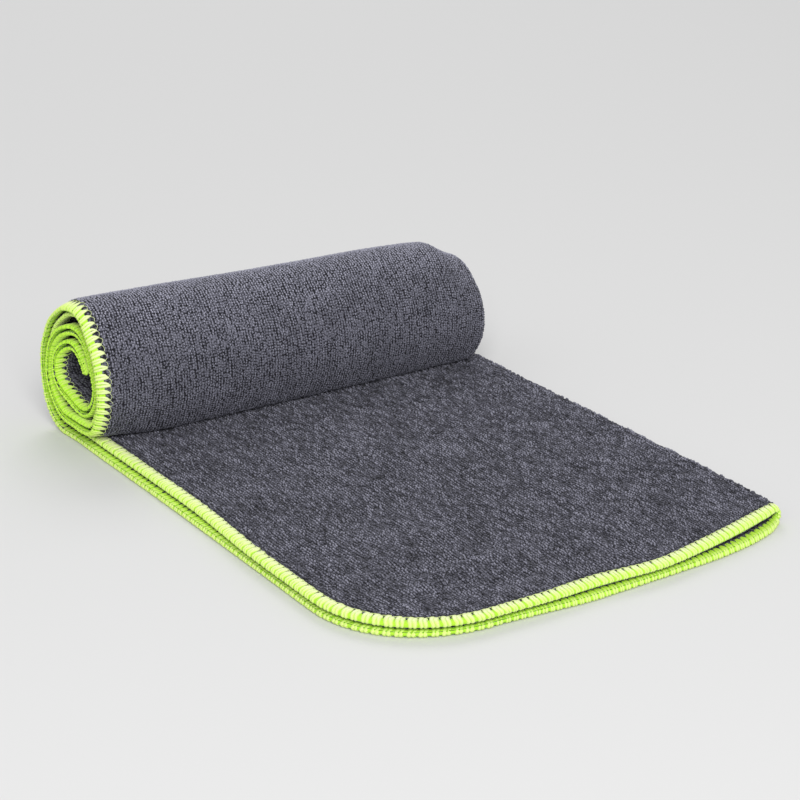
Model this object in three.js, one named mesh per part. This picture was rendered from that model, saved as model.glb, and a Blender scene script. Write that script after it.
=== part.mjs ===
// A small towel of terry cloth with an overlocked edge, folded in half along its length and
// rolled up from its far end towards the near one, where a third of it still lies flat.
//
// The two solids are the cloth, one sheet that keeps its fold and its turns, and the overlocked
// edging, one ring of thread that runs round the whole cut edge of the sheet.
//
// X runs across the folded towel, from its two open edges to the fold. Y runs from the near end
// towards the roll, and Z up from the surface it lies on. All sizes are in millimetres.

import * as THREE from 'three';

// Driving dimensions
const FOLDED_WIDTH = 201.5; // from the open edges to the outside of the fold
const ROLL_CENTRE_Y = 244; // from the near end to the middle of the roll
const ROLL_CENTRE_Z = 34;
const PLY_THICKNESS = 3.0; // one layer of cloth, lying flat
const EDGING_THICKNESS = 3.2;
const EDGING_WIDTH = 5.0;
const PLY_PITCH = 3.7; // from the lower ply to the upper one, where they lie flat
const PART_GAP = 0.3; // between the cloth's cut edge and the edging
const CORNER_RADIUS = 50; // of the towel's rounded corner
const STACK_TOP = 7.3; // top of the two flat plies, on which the roll lies
const REST_SOFTNESS = 2.0; // how gently the roll's underside bends where it meets them
const BEND_SPAN = 7; // degrees of turn over which the sheet's lean is taken
const SWELL_REACH = 9; // how far in from the edge the wound cloth has swelled out
const BELLY_REACH = 34; // and how far in the roll's underside has its full belly
const EDGE_SHIFT_POWER = 4; // keeps an edge's shift even over most of the towel's width
const NEAR_END_REACH = 160; // how far back the wavy line of the near end is still felt

// At the near end of the fold the plies lie farther apart, like a mouth. from and to are places
// across the towel.
const MOUTH = { height: 0.8, fade: 60, from: 120, to: 192 };

// How far the upper ply's open edge lies behind the lower one's, along the flat part, and the
// share of that which is left where the inner turns begin.
const UPPER_RECESS = { near: -0.4, far: 1.9, from: 90, to: 150 };
const INNER_RECESS = { share: 0.2, from: 200, to: 420 };

// Where along the flat part the two sides start to move over to the roll's, and how far the fold
// draws in at the near end.
const OPEN_EDGE_MOVES_FROM = 150;
const FOLD_MOVES_FROM = 200;
const FOLD_END_PULL = { distance: 3, fade: 22 };

// The share of its thickness that the cloth keeps in the roll, where it is pressed, and in the
// inner turns, where it is pressed harder. from and to are degrees of turn.
const PRESSED = { share: 0.84, from: 15, to: 80 };
const INNER_PRESSED = { share: 0.68, from: 300, to: 460 };

// How far the near end of each ply lies back from its most forward point, across the towel.
const NEAR_END = [
  { across: 0, lower: 3.0, upper: 1.4 },
  { across: 15, lower: 4.0, upper: 1.6 },
  { across: 30, lower: 4.8, upper: 2.0 },
  { across: 50, lower: 4.6, upper: 2.8 },
  { across: 70, lower: 2.8, upper: 2.6 },
  { across: 95, lower: 0.4, upper: 4.4 },
  { across: 124, lower: 1.6, upper: 1.2 },
  { across: 150, lower: 2.0, upper: 5.4 },
  { across: 170, lower: 4.0, upper: 9.2 },
  { across: 187, lower: 8.4, upper: 13.2 },
  { across: 202, lower: 16.0, upper: 16.0 },
];

// The share of its height that the roll loses at each place along it. Its end at the fold is
// rounded over like a shoulder.
const CROWN = [
  { across: 0, loss: -0.01 },
  { across: 40, loss: 0.0 },
  { across: 80, loss: 0.02 },
  { across: 110, loss: 0.03 },
  { across: 140, loss: 0.035 },
  { across: 165, loss: 0.05 },
  { across: 177, loss: 0.065 },
  { across: 182, loss: 0.11 },
  { across: 187, loss: 0.16 },
  { across: 191, loss: 0.19 },
  { across: 203, loss: 0.25 },
];

// The winding of the lower ply's outer face. turn is in degrees round the middle of the roll,
// from straight below it, up its back and over its top. radius is measured at the open edge, end
// is where that edge lies along X, swell is how far the cloth just inside it stands out from it,
// belly is how much more the middle of the roll stands out, and fold is where the outside of the
// fold lies along X.
const WINDING = [
  { turn: 0, radius: 34.0, end: -1.0, swell: 0.0, belly: 0.0, fold: 202 },
  { turn: 27, radius: 38.2, end: -2.0, swell: 0.0, belly: 0.0, fold: 201 },
  { turn: 40, radius: 39.4, end: -2.7, swell: 0.6, belly: 0.0, fold: 200 },
  { turn: 61, radius: 35.2, end: -4.0, swell: 1.6, belly: 0.0, fold: 198 },
  { turn: 92, radius: 31.0, end: -4.0, swell: 2.0, belly: 0.0, fold: 197 },
  { turn: 118, radius: 28.0, end: -4.0, swell: 2.0, belly: 0.0, fold: 196 },
  { turn: 146, radius: 27.4, end: -4.0, swell: 1.5, belly: 0.0, fold: 195 },
  { turn: 172, radius: 28.6, end: -4.0, swell: 2.5, belly: 0.0, fold: 195 },
  { turn: 197, radius: 29.9, end: -4.0, swell: 3.5, belly: 0.0, fold: 195 },
  { turn: 225, radius: 27.0, end: -4.0, swell: 3.8, belly: 0.0, fold: 195 },
  { turn: 263, radius: 26.0, end: -4.0, swell: 4.2, belly: 0.6, fold: 194 },
  { turn: 300, radius: 27.2, end: -4.0, swell: 3.0, belly: 2.0, fold: 193 },
  { turn: 324, radius: 28.6, end: -4.0, swell: 1.6, belly: 3.6, fold: 192 },
  { turn: 345, radius: 27.4, end: -4.0, swell: 0.6, belly: 2.2, fold: 192 },
  { turn: 360, radius: 26.7, end: -4.0, swell: 0.0, belly: 0.4, fold: 192 },
  { turn: 389, radius: 28.0, end: -4.5, swell: 0.0, belly: 0.0, fold: 192 },
  { turn: 420, radius: 27.0, end: -5.0, swell: 0.0, belly: 0.0, fold: 192 },
  { turn: 459, radius: 22.1, end: -5.5, swell: 0.0, belly: 0.0, fold: 192 },
  { turn: 506, radius: 20.4, end: -5.0, swell: 0.0, belly: 0.0, fold: 192 },
  { turn: 545, radius: 21.0, end: -2.5, swell: 0.0, belly: 0.0, fold: 191 },
  { turn: 580, radius: 17.9, end: -1.2, swell: 0.0, belly: 0.0, fold: 191 },
  { turn: 609, radius: 16.8, end: -1.2, swell: 0.0, belly: 0.0, fold: 191 },
  { turn: 651, radius: 19.1, end: -1.2, swell: 0.0, belly: 0.0, fold: 191 },
  { turn: 703, radius: 20.4, end: -1.5, swell: 0.0, belly: 0.0, fold: 191 },
  { turn: 745, radius: 17.2, end: -3.5, swell: 0.0, belly: 0.0, fold: 191 },
  { turn: 782, radius: 18.4, end: -5.0, swell: 0.0, belly: 0.0, fold: 191 },
  { turn: 820, radius: 16.2, end: -5.5, swell: 0.0, belly: 0.0, fold: 190 },
  { turn: 884, radius: 13.8, end: -2.5, swell: 0.0, belly: 0.0, fold: 190 },
  { turn: 948, radius: 8.6, end: -1.0, swell: 0.0, belly: 0.0, fold: 190 },
  { turn: 985, radius: 9.2, end: -1.0, swell: 0.0, belly: 0.0, fold: 190 },
];
const WINDING_END = WINDING.at(-1).turn;

// Soft ridges raised in the upper ply where it lies flat: the middle of each, its direction from
// the X axis in degrees, and its half sizes.
const RIDGES = [
  { across: 52, along: 62, heading: 24, halfLength: 34, halfWidth: 11, height: 1.6 },
  { across: 118, along: 44, heading: -8, halfLength: 30, halfWidth: 12, height: 0.9 },
  { across: 96, along: 150, heading: 62, halfLength: 60, halfWidth: 16, height: 0.8 },
];

// Steps of the model
const TURN_STEP = 15;
const CORNER_SHARES = [0.08, 0.28, 0.6, 1]; // from the cut edge to the end of the round corner
const ACROSS = [95, 130, 160, 182];
const ALONG = [95, 140, 185, 220];
const LOOP_ANGLES = [-60, -20, 20, 60];

const radians = THREE.MathUtils.degToRad;
const { lerp, clamp, smoothstep } = THREE.MathUtils;

// Reads one column of a table at any place between its rows, on a curve that never overshoots.
function column(rows, place, value, at) {
  const last = rows.length - 1;
  if (at <= rows[0][place]) return rows[0][value];
  if (at >= rows[last][place]) return rows[last][value];
  const i = rows.findIndex((row) => row[place] > at) - 1;
  const slope = (k) => (rows[k + 1][value] - rows[k][value]) / (rows[k + 1][place] - rows[k][place]);
  const tangent = (k) => {
    if (k === 0 || k === last) return 0;
    const before = slope(k - 1);
    const after = slope(k);
    return before * after <= 0 ? 0 : (2 * before * after) / (before + after);
  };
  const width = rows[i + 1][place] - rows[i][place];
  const t = (at - rows[i][place]) / width;
  return (
    rows[i][value] * (1 + 2 * t) * (1 - t) ** 2 +
    tangent(i) * width * t * (1 - t) ** 2 +
    rows[i + 1][value] * t * t * (3 - 2 * t) +
    tangent(i + 1) * width * t * t * (t - 1)
  );
}

// Where a station is along the towel: turn is negative on the flat part, where along is the
// distance from the near end, and along stays at the roll's middle from there on.
function flatStation(along) {
  return { along, turn: -1 };
}

function rolledStation(turn) {
  return { along: ROLL_CENTRE_Y, turn };
}

function openEdge(station) {
  if (station.turn >= 0) return column(WINDING, 'turn', 'end', station.turn);
  return WINDING[0].end * smoothstep(station.along, OPEN_EDGE_MOVES_FROM, ROLL_CENTRE_Y);
}

function foldSide(station) {
  if (station.turn >= 0) return column(WINDING, 'turn', 'fold', station.turn);
  const nearEndPull = FOLD_END_PULL.distance * Math.exp(-station.along / FOLD_END_PULL.fade);
  const move = smoothstep(station.along, FOLD_MOVES_FROM, ROLL_CENTRE_Y);
  return lerp(FOLDED_WIDTH, WINDING[0].fold, move) - nearEndPull;
}

function upperRecess(station) {
  const share = smoothstep(station.along, UPPER_RECESS.from, UPPER_RECESS.to);
  const wound = smoothstep(station.turn, INNER_RECESS.from, INNER_RECESS.to);
  return lerp(UPPER_RECESS.near, UPPER_RECESS.far, share) * lerp(1, INNER_RECESS.share, wound);
}

function thicknessShare(station) {
  const share = lerp(1, PRESSED.share, smoothstep(station.turn, PRESSED.from, PRESSED.to));
  const inner = smoothstep(station.turn, INNER_PRESSED.from, INNER_PRESSED.to);
  return lerp(share, INNER_PRESSED.share, inner);
}

function plyPitch(station, x) {
  const mouth = Math.exp(-station.along / MOUTH.fade) * smoothstep(x, MOUTH.from, MOUTH.to);
  return PLY_PITCH * thicknessShare(station) + MOUTH.height * mouth;
}

function ridgeHeight(x, y) {
  let height = 0;
  for (const ridge of RIDGES) {
    const along = Math.cos(radians(ridge.heading)) * (x - ridge.across)
      + Math.sin(radians(ridge.heading)) * (y - ridge.along);
    const beside = Math.cos(radians(ridge.heading)) * (y - ridge.along)
      - Math.sin(radians(ridge.heading)) * (x - ridge.across);
    const distance = (along / ridge.halfLength) ** 2 + (beside / ridge.halfWidth) ** 2;
    height += ridge.height * Math.exp(-distance);
  }
  return height;
}

// A point of the lower ply's outer face on the wound part, as y and z at one x.
function woundPoint(turn, x) {
  const inward = clamp((x - column(WINDING, 'turn', 'end', turn)) / SWELL_REACH, 0, 1);
  const swell = column(WINDING, 'turn', 'swell', turn) * (1 - (1 - inward) ** 2);
  const belly = column(WINDING, 'turn', 'belly', turn) * smoothstep(x, 0, BELLY_REACH);
  const radius = column(WINDING, 'turn', 'radius', turn) + swell + belly;
  const z = ROLL_CENTRE_Z - radius * Math.cos(radians(turn));
  const loss = column(CROWN, 'across', 'loss', x) * Math.max(0, z - STACK_TOP);
  const y = ROLL_CENTRE_Y + radius * Math.sin(radians(turn));
  if (turn < 180) return { y, z: Math.max(0, z - loss) };
  const clear = z - loss - STACK_TOP;
  return { y, z: STACK_TOP + (clear + Math.hypot(clear, REST_SOFTNESS)) / 2 };
}

// The point at a depth inside the lower ply's outer face.
function woundDepth(turn, x, depth) {
  const here = woundPoint(turn, x);
  const before = woundPoint(Math.max(0, turn - BEND_SPAN), x);
  const after = woundPoint(Math.min(WINDING_END, turn + BEND_SPAN), x);
  const length = Math.hypot(after.y - before.y, after.z - before.z);
  const y = here.y - (depth * (after.z - before.z)) / length;
  const z = here.z + (depth * (after.y - before.y)) / length;
  return new THREE.Vector3(x, y, z);
}

// Rounds the towel's near corner: a point on a square grid moves onto one with a round corner.
// inset is how far the grid's own outline lies inside the cut edge.
function roundCorner(x, y, inset) {
  if (x > CORNER_RADIUS || y > CORNER_RADIUS) return { x, y };
  const reach = CORNER_RADIUS - inset;
  const u = (CORNER_RADIUS - x) / reach;
  const v = (CORNER_RADIUS - y) / reach;
  return {
    x: CORNER_RADIUS - reach * u * Math.sqrt(1 - (v * v) / 2),
    y: CORNER_RADIUS - reach * v * Math.sqrt(1 - (u * u) / 2),
  };
}

// A place across the folded sheet: a distance in from one ply's open edge, or an angle round the
// fold's loop.
const lower = (inset) => ({ ply: 'lower', inset });
const upper = (inset) => ({ ply: 'upper', inset });
const loop = (angle) => ({ ply: 'loop', angle });

// Gives the point of the folded sheet for a place across it and a station along it. skin is 0 on
// the outer face of the folded towel and 1 on the face that looks at the other ply. thickness is
// that of the layer, and outline is how far the sheet's own grid lies inside the cut edge.
function sheetPoint(place, station, skin, thickness, outline) {
  const layer = thickness * thicknessShare(station);
  const foldX = foldSide(station);
  const pitchAtFold = plyPitch(station, foldX);
  const loopRadius = (pitchAtFold + layer) / 2;
  let x;
  let depth;
  if (place.ply === 'loop') {
    const radius = loopRadius - skin * layer;
    x = foldX - loopRadius + radius * Math.cos(radians(place.angle));
    depth = loopRadius + radius * Math.sin(radians(place.angle));
  } else {
    const recess = place.ply === 'upper' ? upperRecess(station) : 0;
    const share = clamp(place.inset / FOLDED_WIDTH, 0, 1);
    const edgeX = openEdge(station) + recess;
    const foldedX = foldX - FOLDED_WIDTH;
    x = place.inset + lerp(edgeX, foldedX, share ** EDGE_SHIFT_POWER);
    x = Math.min(x, foldX - loopRadius);
    depth = place.ply === 'lower' ? skin * layer : plyPitch(station, x) + (1 - skin) * layer;
  }
  if (station.turn >= 0) return woundDepth(station.turn, x, depth);

  const corner = roundCorner(x, station.along, outline);
  const upperShare = clamp(depth / (pitchAtFold + layer), 0, 1);
  const back = lerp(
    column(NEAR_END, 'across', 'lower', corner.x),
    column(NEAR_END, 'across', 'upper', corner.x),
    upperShare,
  );
  const nearness = (1 - clamp(corner.y / NEAR_END_REACH, 0, 1)) ** 2;
  const ridge = place.ply === 'upper' ? ridgeHeight(corner.x, corner.y) : 0;
  return new THREE.Vector3(corner.x, corner.y + back * nearness, depth + ridge);
}

// How far from the cut edge a share of the corner is, for a grid whose outline lies inside it.
function cornerStep(share, outline) {
  return outline + share * (CORNER_RADIUS - outline);
}

// The stations of a grid along the sheet, from its near end to the inner end of the roll.
function stationsOf(outline) {
  const corner = CORNER_SHARES.map((share) => cornerStep(share, outline));
  const flat = [outline, ...corner, ...ALONG].map(flatStation);
  const steps = Math.round(WINDING_END / TURN_STEP);
  const rolled = [];
  const end = WINDING_END - THREE.MathUtils.radToDeg(outline / WINDING.at(-1).radius);
  for (let i = 0; i <= steps; i += 1) rolled.push(rolledStation((end * i) / steps));
  return [...flat, ...rolled];
}

// Closes a grid of points into one solid. rows run along the sheet and columns across it, and
// the outer and inner skins are joined round the rim.
function closedSheet(outer, inner) {
  const rows = outer.length;
  const columns = outer[0].length;
  const positions = [];
  for (const point of [...outer.flat(), ...inner.flat()]) positions.push(point.x, point.y, point.z);
  const at = (skin, row, col) => (skin * rows + row) * columns + col;
  const index = [];
  const quad = (a, b, c, d) => index.push(a, b, c, a, c, d);
  for (let r = 0; r < rows - 1; r += 1) {
    for (let c = 0; c < columns - 1; c += 1) {
      quad(at(0, r, c), at(0, r + 1, c), at(0, r + 1, c + 1), at(0, r, c + 1));
      quad(at(1, r, c), at(1, r, c + 1), at(1, r + 1, c + 1), at(1, r + 1, c));
    }
  }
  const lastRow = rows - 1;
  const lastColumn = columns - 1;
  for (let r = 0; r < lastRow; r += 1) {
    quad(at(0, r, 0), at(1, r, 0), at(1, r + 1, 0), at(0, r + 1, 0));
    quad(at(0, r, lastColumn), at(0, r + 1, lastColumn), at(1, r + 1, lastColumn), at(1, r, lastColumn));
  }
  for (let c = 0; c < lastColumn; c += 1) {
    quad(at(0, 0, c), at(0, 0, c + 1), at(1, 0, c + 1), at(1, 0, c));
    quad(at(0, lastRow, c), at(1, lastRow, c), at(1, lastRow, c + 1), at(0, lastRow, c + 1));
  }
  return geometryOf(positions, index);
}

function geometryOf(positions, index) {
  const geometry = new THREE.BufferGeometry();
  geometry.setAttribute('position', new THREE.Float32BufferAttribute(positions, 3));
  geometry.setIndex(index);
  geometry.computeVertexNormals();
  return geometry;
}

function clothGeometry() {
  const outline = EDGING_WIDTH + PART_GAP;
  const stations = stationsOf(outline);
  const corner = CORNER_SHARES.map((share) => cornerStep(share, outline));
  const insets = [outline, ...corner, ...ACROSS];
  const places = [...insets.map(lower), ...LOOP_ANGLES.map(loop), ...insets.toReversed().map(upper)];
  const skin = (k) => stations.map((station) =>
    places.map((place) => sheetPoint(place, station, k, PLY_THICKNESS, outline)));
  return closedSheet(skin(0), skin(1));
}

// The ring of edging as stations round the cut edge. Each gives the place and the station on the
// sheet for a distance in from that edge.
function edgingStations() {
  const rolled = stationsOf(0).filter((station) => station.turn >= 0);
  const lengthwise = [...ALONG.map(flatStation), ...rolled.slice(0, -1)];
  const last = (inset) => stationsOf(inset).at(-1);
  const side = (ply) => lengthwise.map((station) => (inset) => ({ place: ply(inset), station }));
  const shoulder = (ply) => CORNER_SHARES.map((share) => (inset) => ({
    place: ply(inset), station: flatStation(cornerStep(share, inset)) }));
  const tip = (ply) => (inset) => ({ place: ply(inset), station: flatStation(inset) });
  const toe = (ply) => CORNER_SHARES.map((share) => (inset) => ({
    place: ply(cornerStep(share, inset)), station: flatStation(inset) }));
  const near = (ply) => ACROSS.map((across) => (inset) => ({
    place: ply(across), station: flatStation(inset) }));
  const nearLoop = LOOP_ANGLES.map((angle) => (inset) => ({
    place: loop(angle), station: flatStation(inset) }));
  const far = (ply) => [CORNER_RADIUS, ...ACROSS].map((across) => (inset) => ({
    place: ply(across), station: last(inset) }));
  const farLoop = LOOP_ANGLES.map((angle) => (inset) => ({
    place: loop(angle), station: last(inset) }));
  const inmost = (ply) => (inset) => ({ place: ply(inset), station: last(inset) });
  return [
    inmost(lower), ...side(lower).toReversed(), ...shoulder(lower).toReversed(), tip(lower),
    ...toe(lower), ...near(lower), ...nearLoop, ...near(upper).toReversed(),
    ...toe(upper).toReversed(), tip(upper), ...shoulder(upper), ...side(upper), inmost(upper),
    ...far(upper), ...farLoop.toReversed(), ...far(lower).toReversed(),
  ];
}

function edgingGeometry() {
  const rim = 0.22; // share of the section that its rounded outer side takes
  const section = [
    { inset: 0, skin: 0.3 }, { inset: rim * EDGING_WIDTH, skin: 0 }, { inset: EDGING_WIDTH, skin: 0 },
    { inset: EDGING_WIDTH, skin: 1 }, { inset: rim * EDGING_WIDTH, skin: 1 }, { inset: 0, skin: 0.7 },
  ];
  const stations = edgingStations();
  const positions = [];
  for (const stationAt of stations) {
    for (const { inset, skin } of section) {
      const { place, station } = stationAt(inset);
      const point = sheetPoint(place, station, skin, EDGING_THICKNESS, inset);
      positions.push(point.x, point.y, point.z);
    }
  }
  const sides = section.length;
  const index = [];
  for (let i = 0; i < stations.length; i += 1) {
    const next = (i + 1) % stations.length;
    for (let k = 0; k < sides; k += 1) {
      const beside = (k + 1) % sides;
      const a = i * sides + k;
      const b = i * sides + beside;
      const c = next * sides + beside;
      const d = next * sides + k;
      index.push(a, b, c, a, c, d);
    }
  }
  return geometryOf(positions, index);
}

function piece(name, geometry, color, roughness) {
  const material = new THREE.MeshStandardMaterial({ color, roughness, metalness: 0 });
  const mesh = new THREE.Mesh(geometry, material);
  mesh.name = name;
  return mesh;
}

const towel = new THREE.Group();
towel.add(piece('towel_cloth', clothGeometry(), 0x3c3d44, 0.95));
towel.add(piece('overlocked_edging', edgingGeometry(), 0xb9e04a, 0.7));

// The origin is the middle of the towel's box, at the surface it lies on.
const box = new THREE.Box3().setFromObject(towel);
const middle = box.getCenter(new THREE.Vector3());
towel.position.set(-middle.x, -middle.y, -box.min.z);
towel.updateMatrixWorld(true);

export default towel;
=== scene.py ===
"""Dresses the rolled towel and lays it out in a pale studio.

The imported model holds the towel's construction: one folded and rolled sheet of cloth, and the
edging that binds its cut edge. Here both get what the construction leaves out: the loops and the
soft folds of the terry, and every stitch of the overlocked edge.
"""

from __future__ import annotations

import logging
import math
from dataclasses import dataclass
from dataclasses import field
from enum import Enum
from typing import NamedTuple

import bmesh
import bpy
import numpy as np
from mathutils import Matrix
from mathutils import Vector

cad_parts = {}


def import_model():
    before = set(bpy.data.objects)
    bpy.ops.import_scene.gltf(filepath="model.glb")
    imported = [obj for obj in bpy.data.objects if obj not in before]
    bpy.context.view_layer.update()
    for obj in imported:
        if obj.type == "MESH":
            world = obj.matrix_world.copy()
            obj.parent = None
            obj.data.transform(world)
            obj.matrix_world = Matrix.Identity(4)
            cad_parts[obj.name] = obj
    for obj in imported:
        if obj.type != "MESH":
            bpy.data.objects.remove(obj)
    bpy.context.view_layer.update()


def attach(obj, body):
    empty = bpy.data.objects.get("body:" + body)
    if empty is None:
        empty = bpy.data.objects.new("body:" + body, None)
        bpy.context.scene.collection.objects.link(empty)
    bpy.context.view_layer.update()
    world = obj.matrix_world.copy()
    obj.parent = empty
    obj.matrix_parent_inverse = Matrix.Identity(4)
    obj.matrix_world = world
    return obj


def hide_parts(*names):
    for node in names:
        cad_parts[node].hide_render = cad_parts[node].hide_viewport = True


MM = 0.001
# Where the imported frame's origin lies from the towel's near open corner, in mm.
ORIGIN_ACROSS = 98.149
ORIGIN_ALONG = 139.274
# Between which two values most of a noise lies.
NOISE_LOW = 0.3
NOISE_HIGH = 0.7
SHORTEST = 1e-9
LOG = logging.getLogger("rolled_towel")


class Slot(Enum):
    """The record's material slots."""

    CLOTH = "terry_cloth"
    EDGING = "edging_thread"


class NearEndRow(NamedTuple):
    """How far each ply's near end lies back, in mm, at a place across the towel."""

    across: float
    lower: float
    upper: float


class CrownRow(NamedTuple):
    """The share of its height that the roll loses at a place across it."""

    across: float
    loss: float


class TurnRow(NamedTuple):
    """The winding at one turn, in degrees: the lower ply's outer face, in mm."""

    turn: float
    radius: float
    end: float
    swell: float
    belly: float
    fold: float


class RidgeRow(NamedTuple):
    """A soft ridge or trough in the flat part's upper ply, in mm, heading in degrees."""

    across: float
    along: float
    heading: float
    half_length: float
    half_width: float
    height: float


class LegRow(NamedTuple):
    """A step of a stitch's leg, from its needle hole to the rim.

    inset, depth and half_height are in mm, half_width, spread and bow are shares of a stitch, and
    tone runs from 0 in a hollow to 1 on a crest: painted shade deepens the rim and painted light
    pales the stitch's face.
    """

    inset: float
    depth: float
    half_width: float
    half_height: float
    spread: float
    bow: float
    tone: float


class CoreRow(NamedTuple):
    """A step of the dense thread's way round the rim, under the stitches, in mm."""

    inset: float
    depth: float


class LoopRing(NamedTuple):
    """A ring of a terry loop: its height, width and tone as shares of the loop's own; the tone
    paints shade on the loop's lower rings.
    """

    height: float
    width: float
    tone: float


NEAR_END = (
    NearEndRow(0, 3.0, 1.4),
    NearEndRow(15, 4.0, 1.6),
    NearEndRow(30, 4.8, 2.0),
    NearEndRow(50, 4.6, 2.8),
    NearEndRow(70, 2.8, 2.6),
    NearEndRow(95, 0.4, 4.4),
    NearEndRow(124, 1.6, 1.2),
    NearEndRow(150, 2.0, 5.4),
    NearEndRow(170, 4.0, 9.2),
    NearEndRow(187, 8.4, 13.2),
    NearEndRow(202, 16.0, 16.0),
)

CROWN = (
    CrownRow(0, -0.01),
    CrownRow(40, 0.0),
    CrownRow(80, 0.02),
    CrownRow(110, 0.03),
    CrownRow(140, 0.035),
    CrownRow(165, 0.05),
    CrownRow(177, 0.065),
    CrownRow(182, 0.11),
    CrownRow(187, 0.16),
    CrownRow(191, 0.19),
    CrownRow(203, 0.25),
)

WINDING = (
    TurnRow(0, 34.0, -1.0, 0.0, 0.0, 202),
    TurnRow(27, 38.2, -2.0, 0.0, 0.0, 201),
    TurnRow(40, 39.4, -2.7, 0.6, 0.0, 200),
    TurnRow(61, 35.2, -4.0, 1.6, 0.0, 198),
    TurnRow(92, 31.0, -4.0, 2.0, 0.0, 197),
    TurnRow(118, 28.0, -4.0, 2.0, 0.0, 196),
    TurnRow(146, 27.4, -4.0, 1.5, 0.0, 195),
    TurnRow(172, 28.6, -4.0, 2.5, 0.0, 195),
    TurnRow(197, 29.9, -4.0, 3.5, 0.0, 195),
    TurnRow(225, 27.0, -4.0, 3.8, 0.0, 195),
    TurnRow(263, 26.0, -4.0, 4.2, 0.6, 194),
    TurnRow(300, 27.2, -4.0, 3.0, 2.0, 193),
    TurnRow(324, 28.6, -4.0, 1.6, 3.6, 192),
    TurnRow(345, 27.4, -4.0, 0.6, 2.2, 192),
    TurnRow(360, 26.7, -4.0, 0.0, 0.4, 192),
    TurnRow(389, 28.0, -4.5, 0.0, 0.0, 192),
    TurnRow(420, 27.0, -5.0, 0.0, 0.0, 192),
    TurnRow(459, 22.1, -5.5, 0.0, 0.0, 192),
    TurnRow(506, 20.4, -5.0, 0.0, 0.0, 192),
    TurnRow(545, 21.0, -2.5, 0.0, 0.0, 191),
    TurnRow(580, 17.9, -1.2, 0.0, 0.0, 191),
    TurnRow(609, 16.8, -1.2, 0.0, 0.0, 191),
    TurnRow(651, 19.1, -1.2, 0.0, 0.0, 191),
    TurnRow(703, 20.4, -1.5, 0.0, 0.0, 191),
    TurnRow(745, 17.2, -3.5, 0.0, 0.0, 191),
    TurnRow(782, 18.4, -5.0, 0.0, 0.0, 191),
    TurnRow(820, 16.2, -5.5, 0.0, 0.0, 190),
    TurnRow(884, 13.8, -2.5, 0.0, 0.0, 190),
    TurnRow(948, 8.6, -1.0, 0.0, 0.0, 190),
    TurnRow(985, 9.2, -1.0, 0.0, 0.0, 190),
)

RIDGES = (
    RidgeRow(52, 62, 24, 34, 11, 1.6),
    RidgeRow(118, 44, -8, 30, 12, 0.9),
    RidgeRow(96, 150, 62, 60, 16, 0.8),
)

SOFT_FOLDS = (
    RidgeRow(33, 47, 20, 18, 6, -0.7),
    RidgeRow(54, 36, 10, 24, 5, 2.0),
    RidgeRow(62, 22, 8, 22, 6, -0.7),
    RidgeRow(150, 92, 70, 46, 9, 0.7),
)

# The tone column paints light and shade: pale on the stitch's face, deeper green at its rim.
LEG = (
    LegRow(5.4, 0.66, 0.05, 0.16, 0.005, 0.0, 0.84),
    LegRow(5.1, 0.32, 0.09, 0.24, 0.03, 0.02, 0.9),
    LegRow(4.5, 0.22, 0.145, 0.34, 0.08, 0.08, 0.94),
    LegRow(3.6, 0.28, 0.2, 0.46, 0.15, 0.14, 0.94),
    LegRow(2.6, 0.38, 0.22, 0.58, 0.19, 0.16, 0.9),
    LegRow(1.7, 0.58, 0.22, 0.68, 0.2, 0.12, 0.86),
    LegRow(0.9, 0.92, 0.205, 0.72, 0.185, 0.06, 0.8),
    LegRow(0.62, 1.38, 0.195, 0.74, 0.18, 0.0, 0.78),
)

CORE = (
    CoreRow(4.6, 0.68),
    CoreRow(3.2, 0.44),
    CoreRow(2.0, 0.42),
    CoreRow(1.1, 0.52),
    CoreRow(0.6, 0.86),
    CoreRow(0.46, 1.5),
    CoreRow(0.6, 2.14),
    CoreRow(1.1, 2.48),
    CoreRow(2.0, 2.58),
    CoreRow(3.2, 2.56),
    CoreRow(4.3, 2.38),
)

# The tone column paints shade: a loop darkens from its tip down to its root.
LOOP_RINGS = (
    LoopRing(-0.25, 1.0, 0.0),
    LoopRing(0.62, 0.82, 0.62),
)


def smooth_step(value: np.ndarray, low: float, high: float) -> np.ndarray:
    """Rises smoothly from 0 at low to 1 at high.

    Args:
        value: The numbers to place between the two ends.
        low: Where the rise starts.
        high: Where it ends.

    Returns:
        The height of the rise at each value.
    """
    share = np.clip((value - low) / (high - low), 0, 1)
    return share * share * (3 - 2 * share)


def blend(start: np.ndarray, end: np.ndarray, share: np.ndarray) -> np.ndarray:
    """Gives start where share is 0 and end where it is 1."""
    return start + (end - start) * share


class Span(NamedTuple):
    """Where something starts and where it has come to its end."""

    start: float
    end: float


@dataclass(frozen=True)
class Curve:
    """A smooth curve through the rows of a table, which never overshoots them."""

    places: np.ndarray
    values: np.ndarray

    @classmethod
    def through(cls, rows: tuple, place: str, value: str) -> Curve:
        """Reads one column of a table against another.

        Args:
            rows: The table's rows.
            place: The name of the column that rises from row to row.
            value: The name of the column that the curve gives.

        Returns:
            The curve through them.
        """
        places = np.array([getattr(row, place) for row in rows], float)
        values = np.array([getattr(row, value) for row in rows], float)
        return cls(places, values)

    def at(self, where: np.ndarray) -> np.ndarray:
        """Gives the curve's value at each place.

        Args:
            where: The places. Those beyond the table's ends get the end's value.

        Returns:
            The values there.
        """
        gaps = np.diff(self.places)
        slopes = np.diff(self.values) / gaps
        before = slopes[:-1]
        after = slopes[1:]
        total = np.where(before * after > 0, before + after, 1)
        tangents = np.zeros_like(self.values)
        tangents[1:-1] = np.where(before * after > 0, 2 * before * after / total, 0)
        inside = np.clip(where, self.places[0], self.places[-1])
        last = len(gaps) - 1
        row = np.clip(np.searchsorted(self.places, inside, side="right") - 1, 0, last)
        width = gaps[row]
        t = (inside - self.places[row]) / width
        return (
            self.values[row] * (1 + 2 * t) * (1 - t) ** 2
            + tangents[row] * width * t * (1 - t) ** 2
            + self.values[row + 1] * t * t * (3 - 2 * t)
            + tangents[row + 1] * width * t * t * (t - 1)
        )


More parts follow.
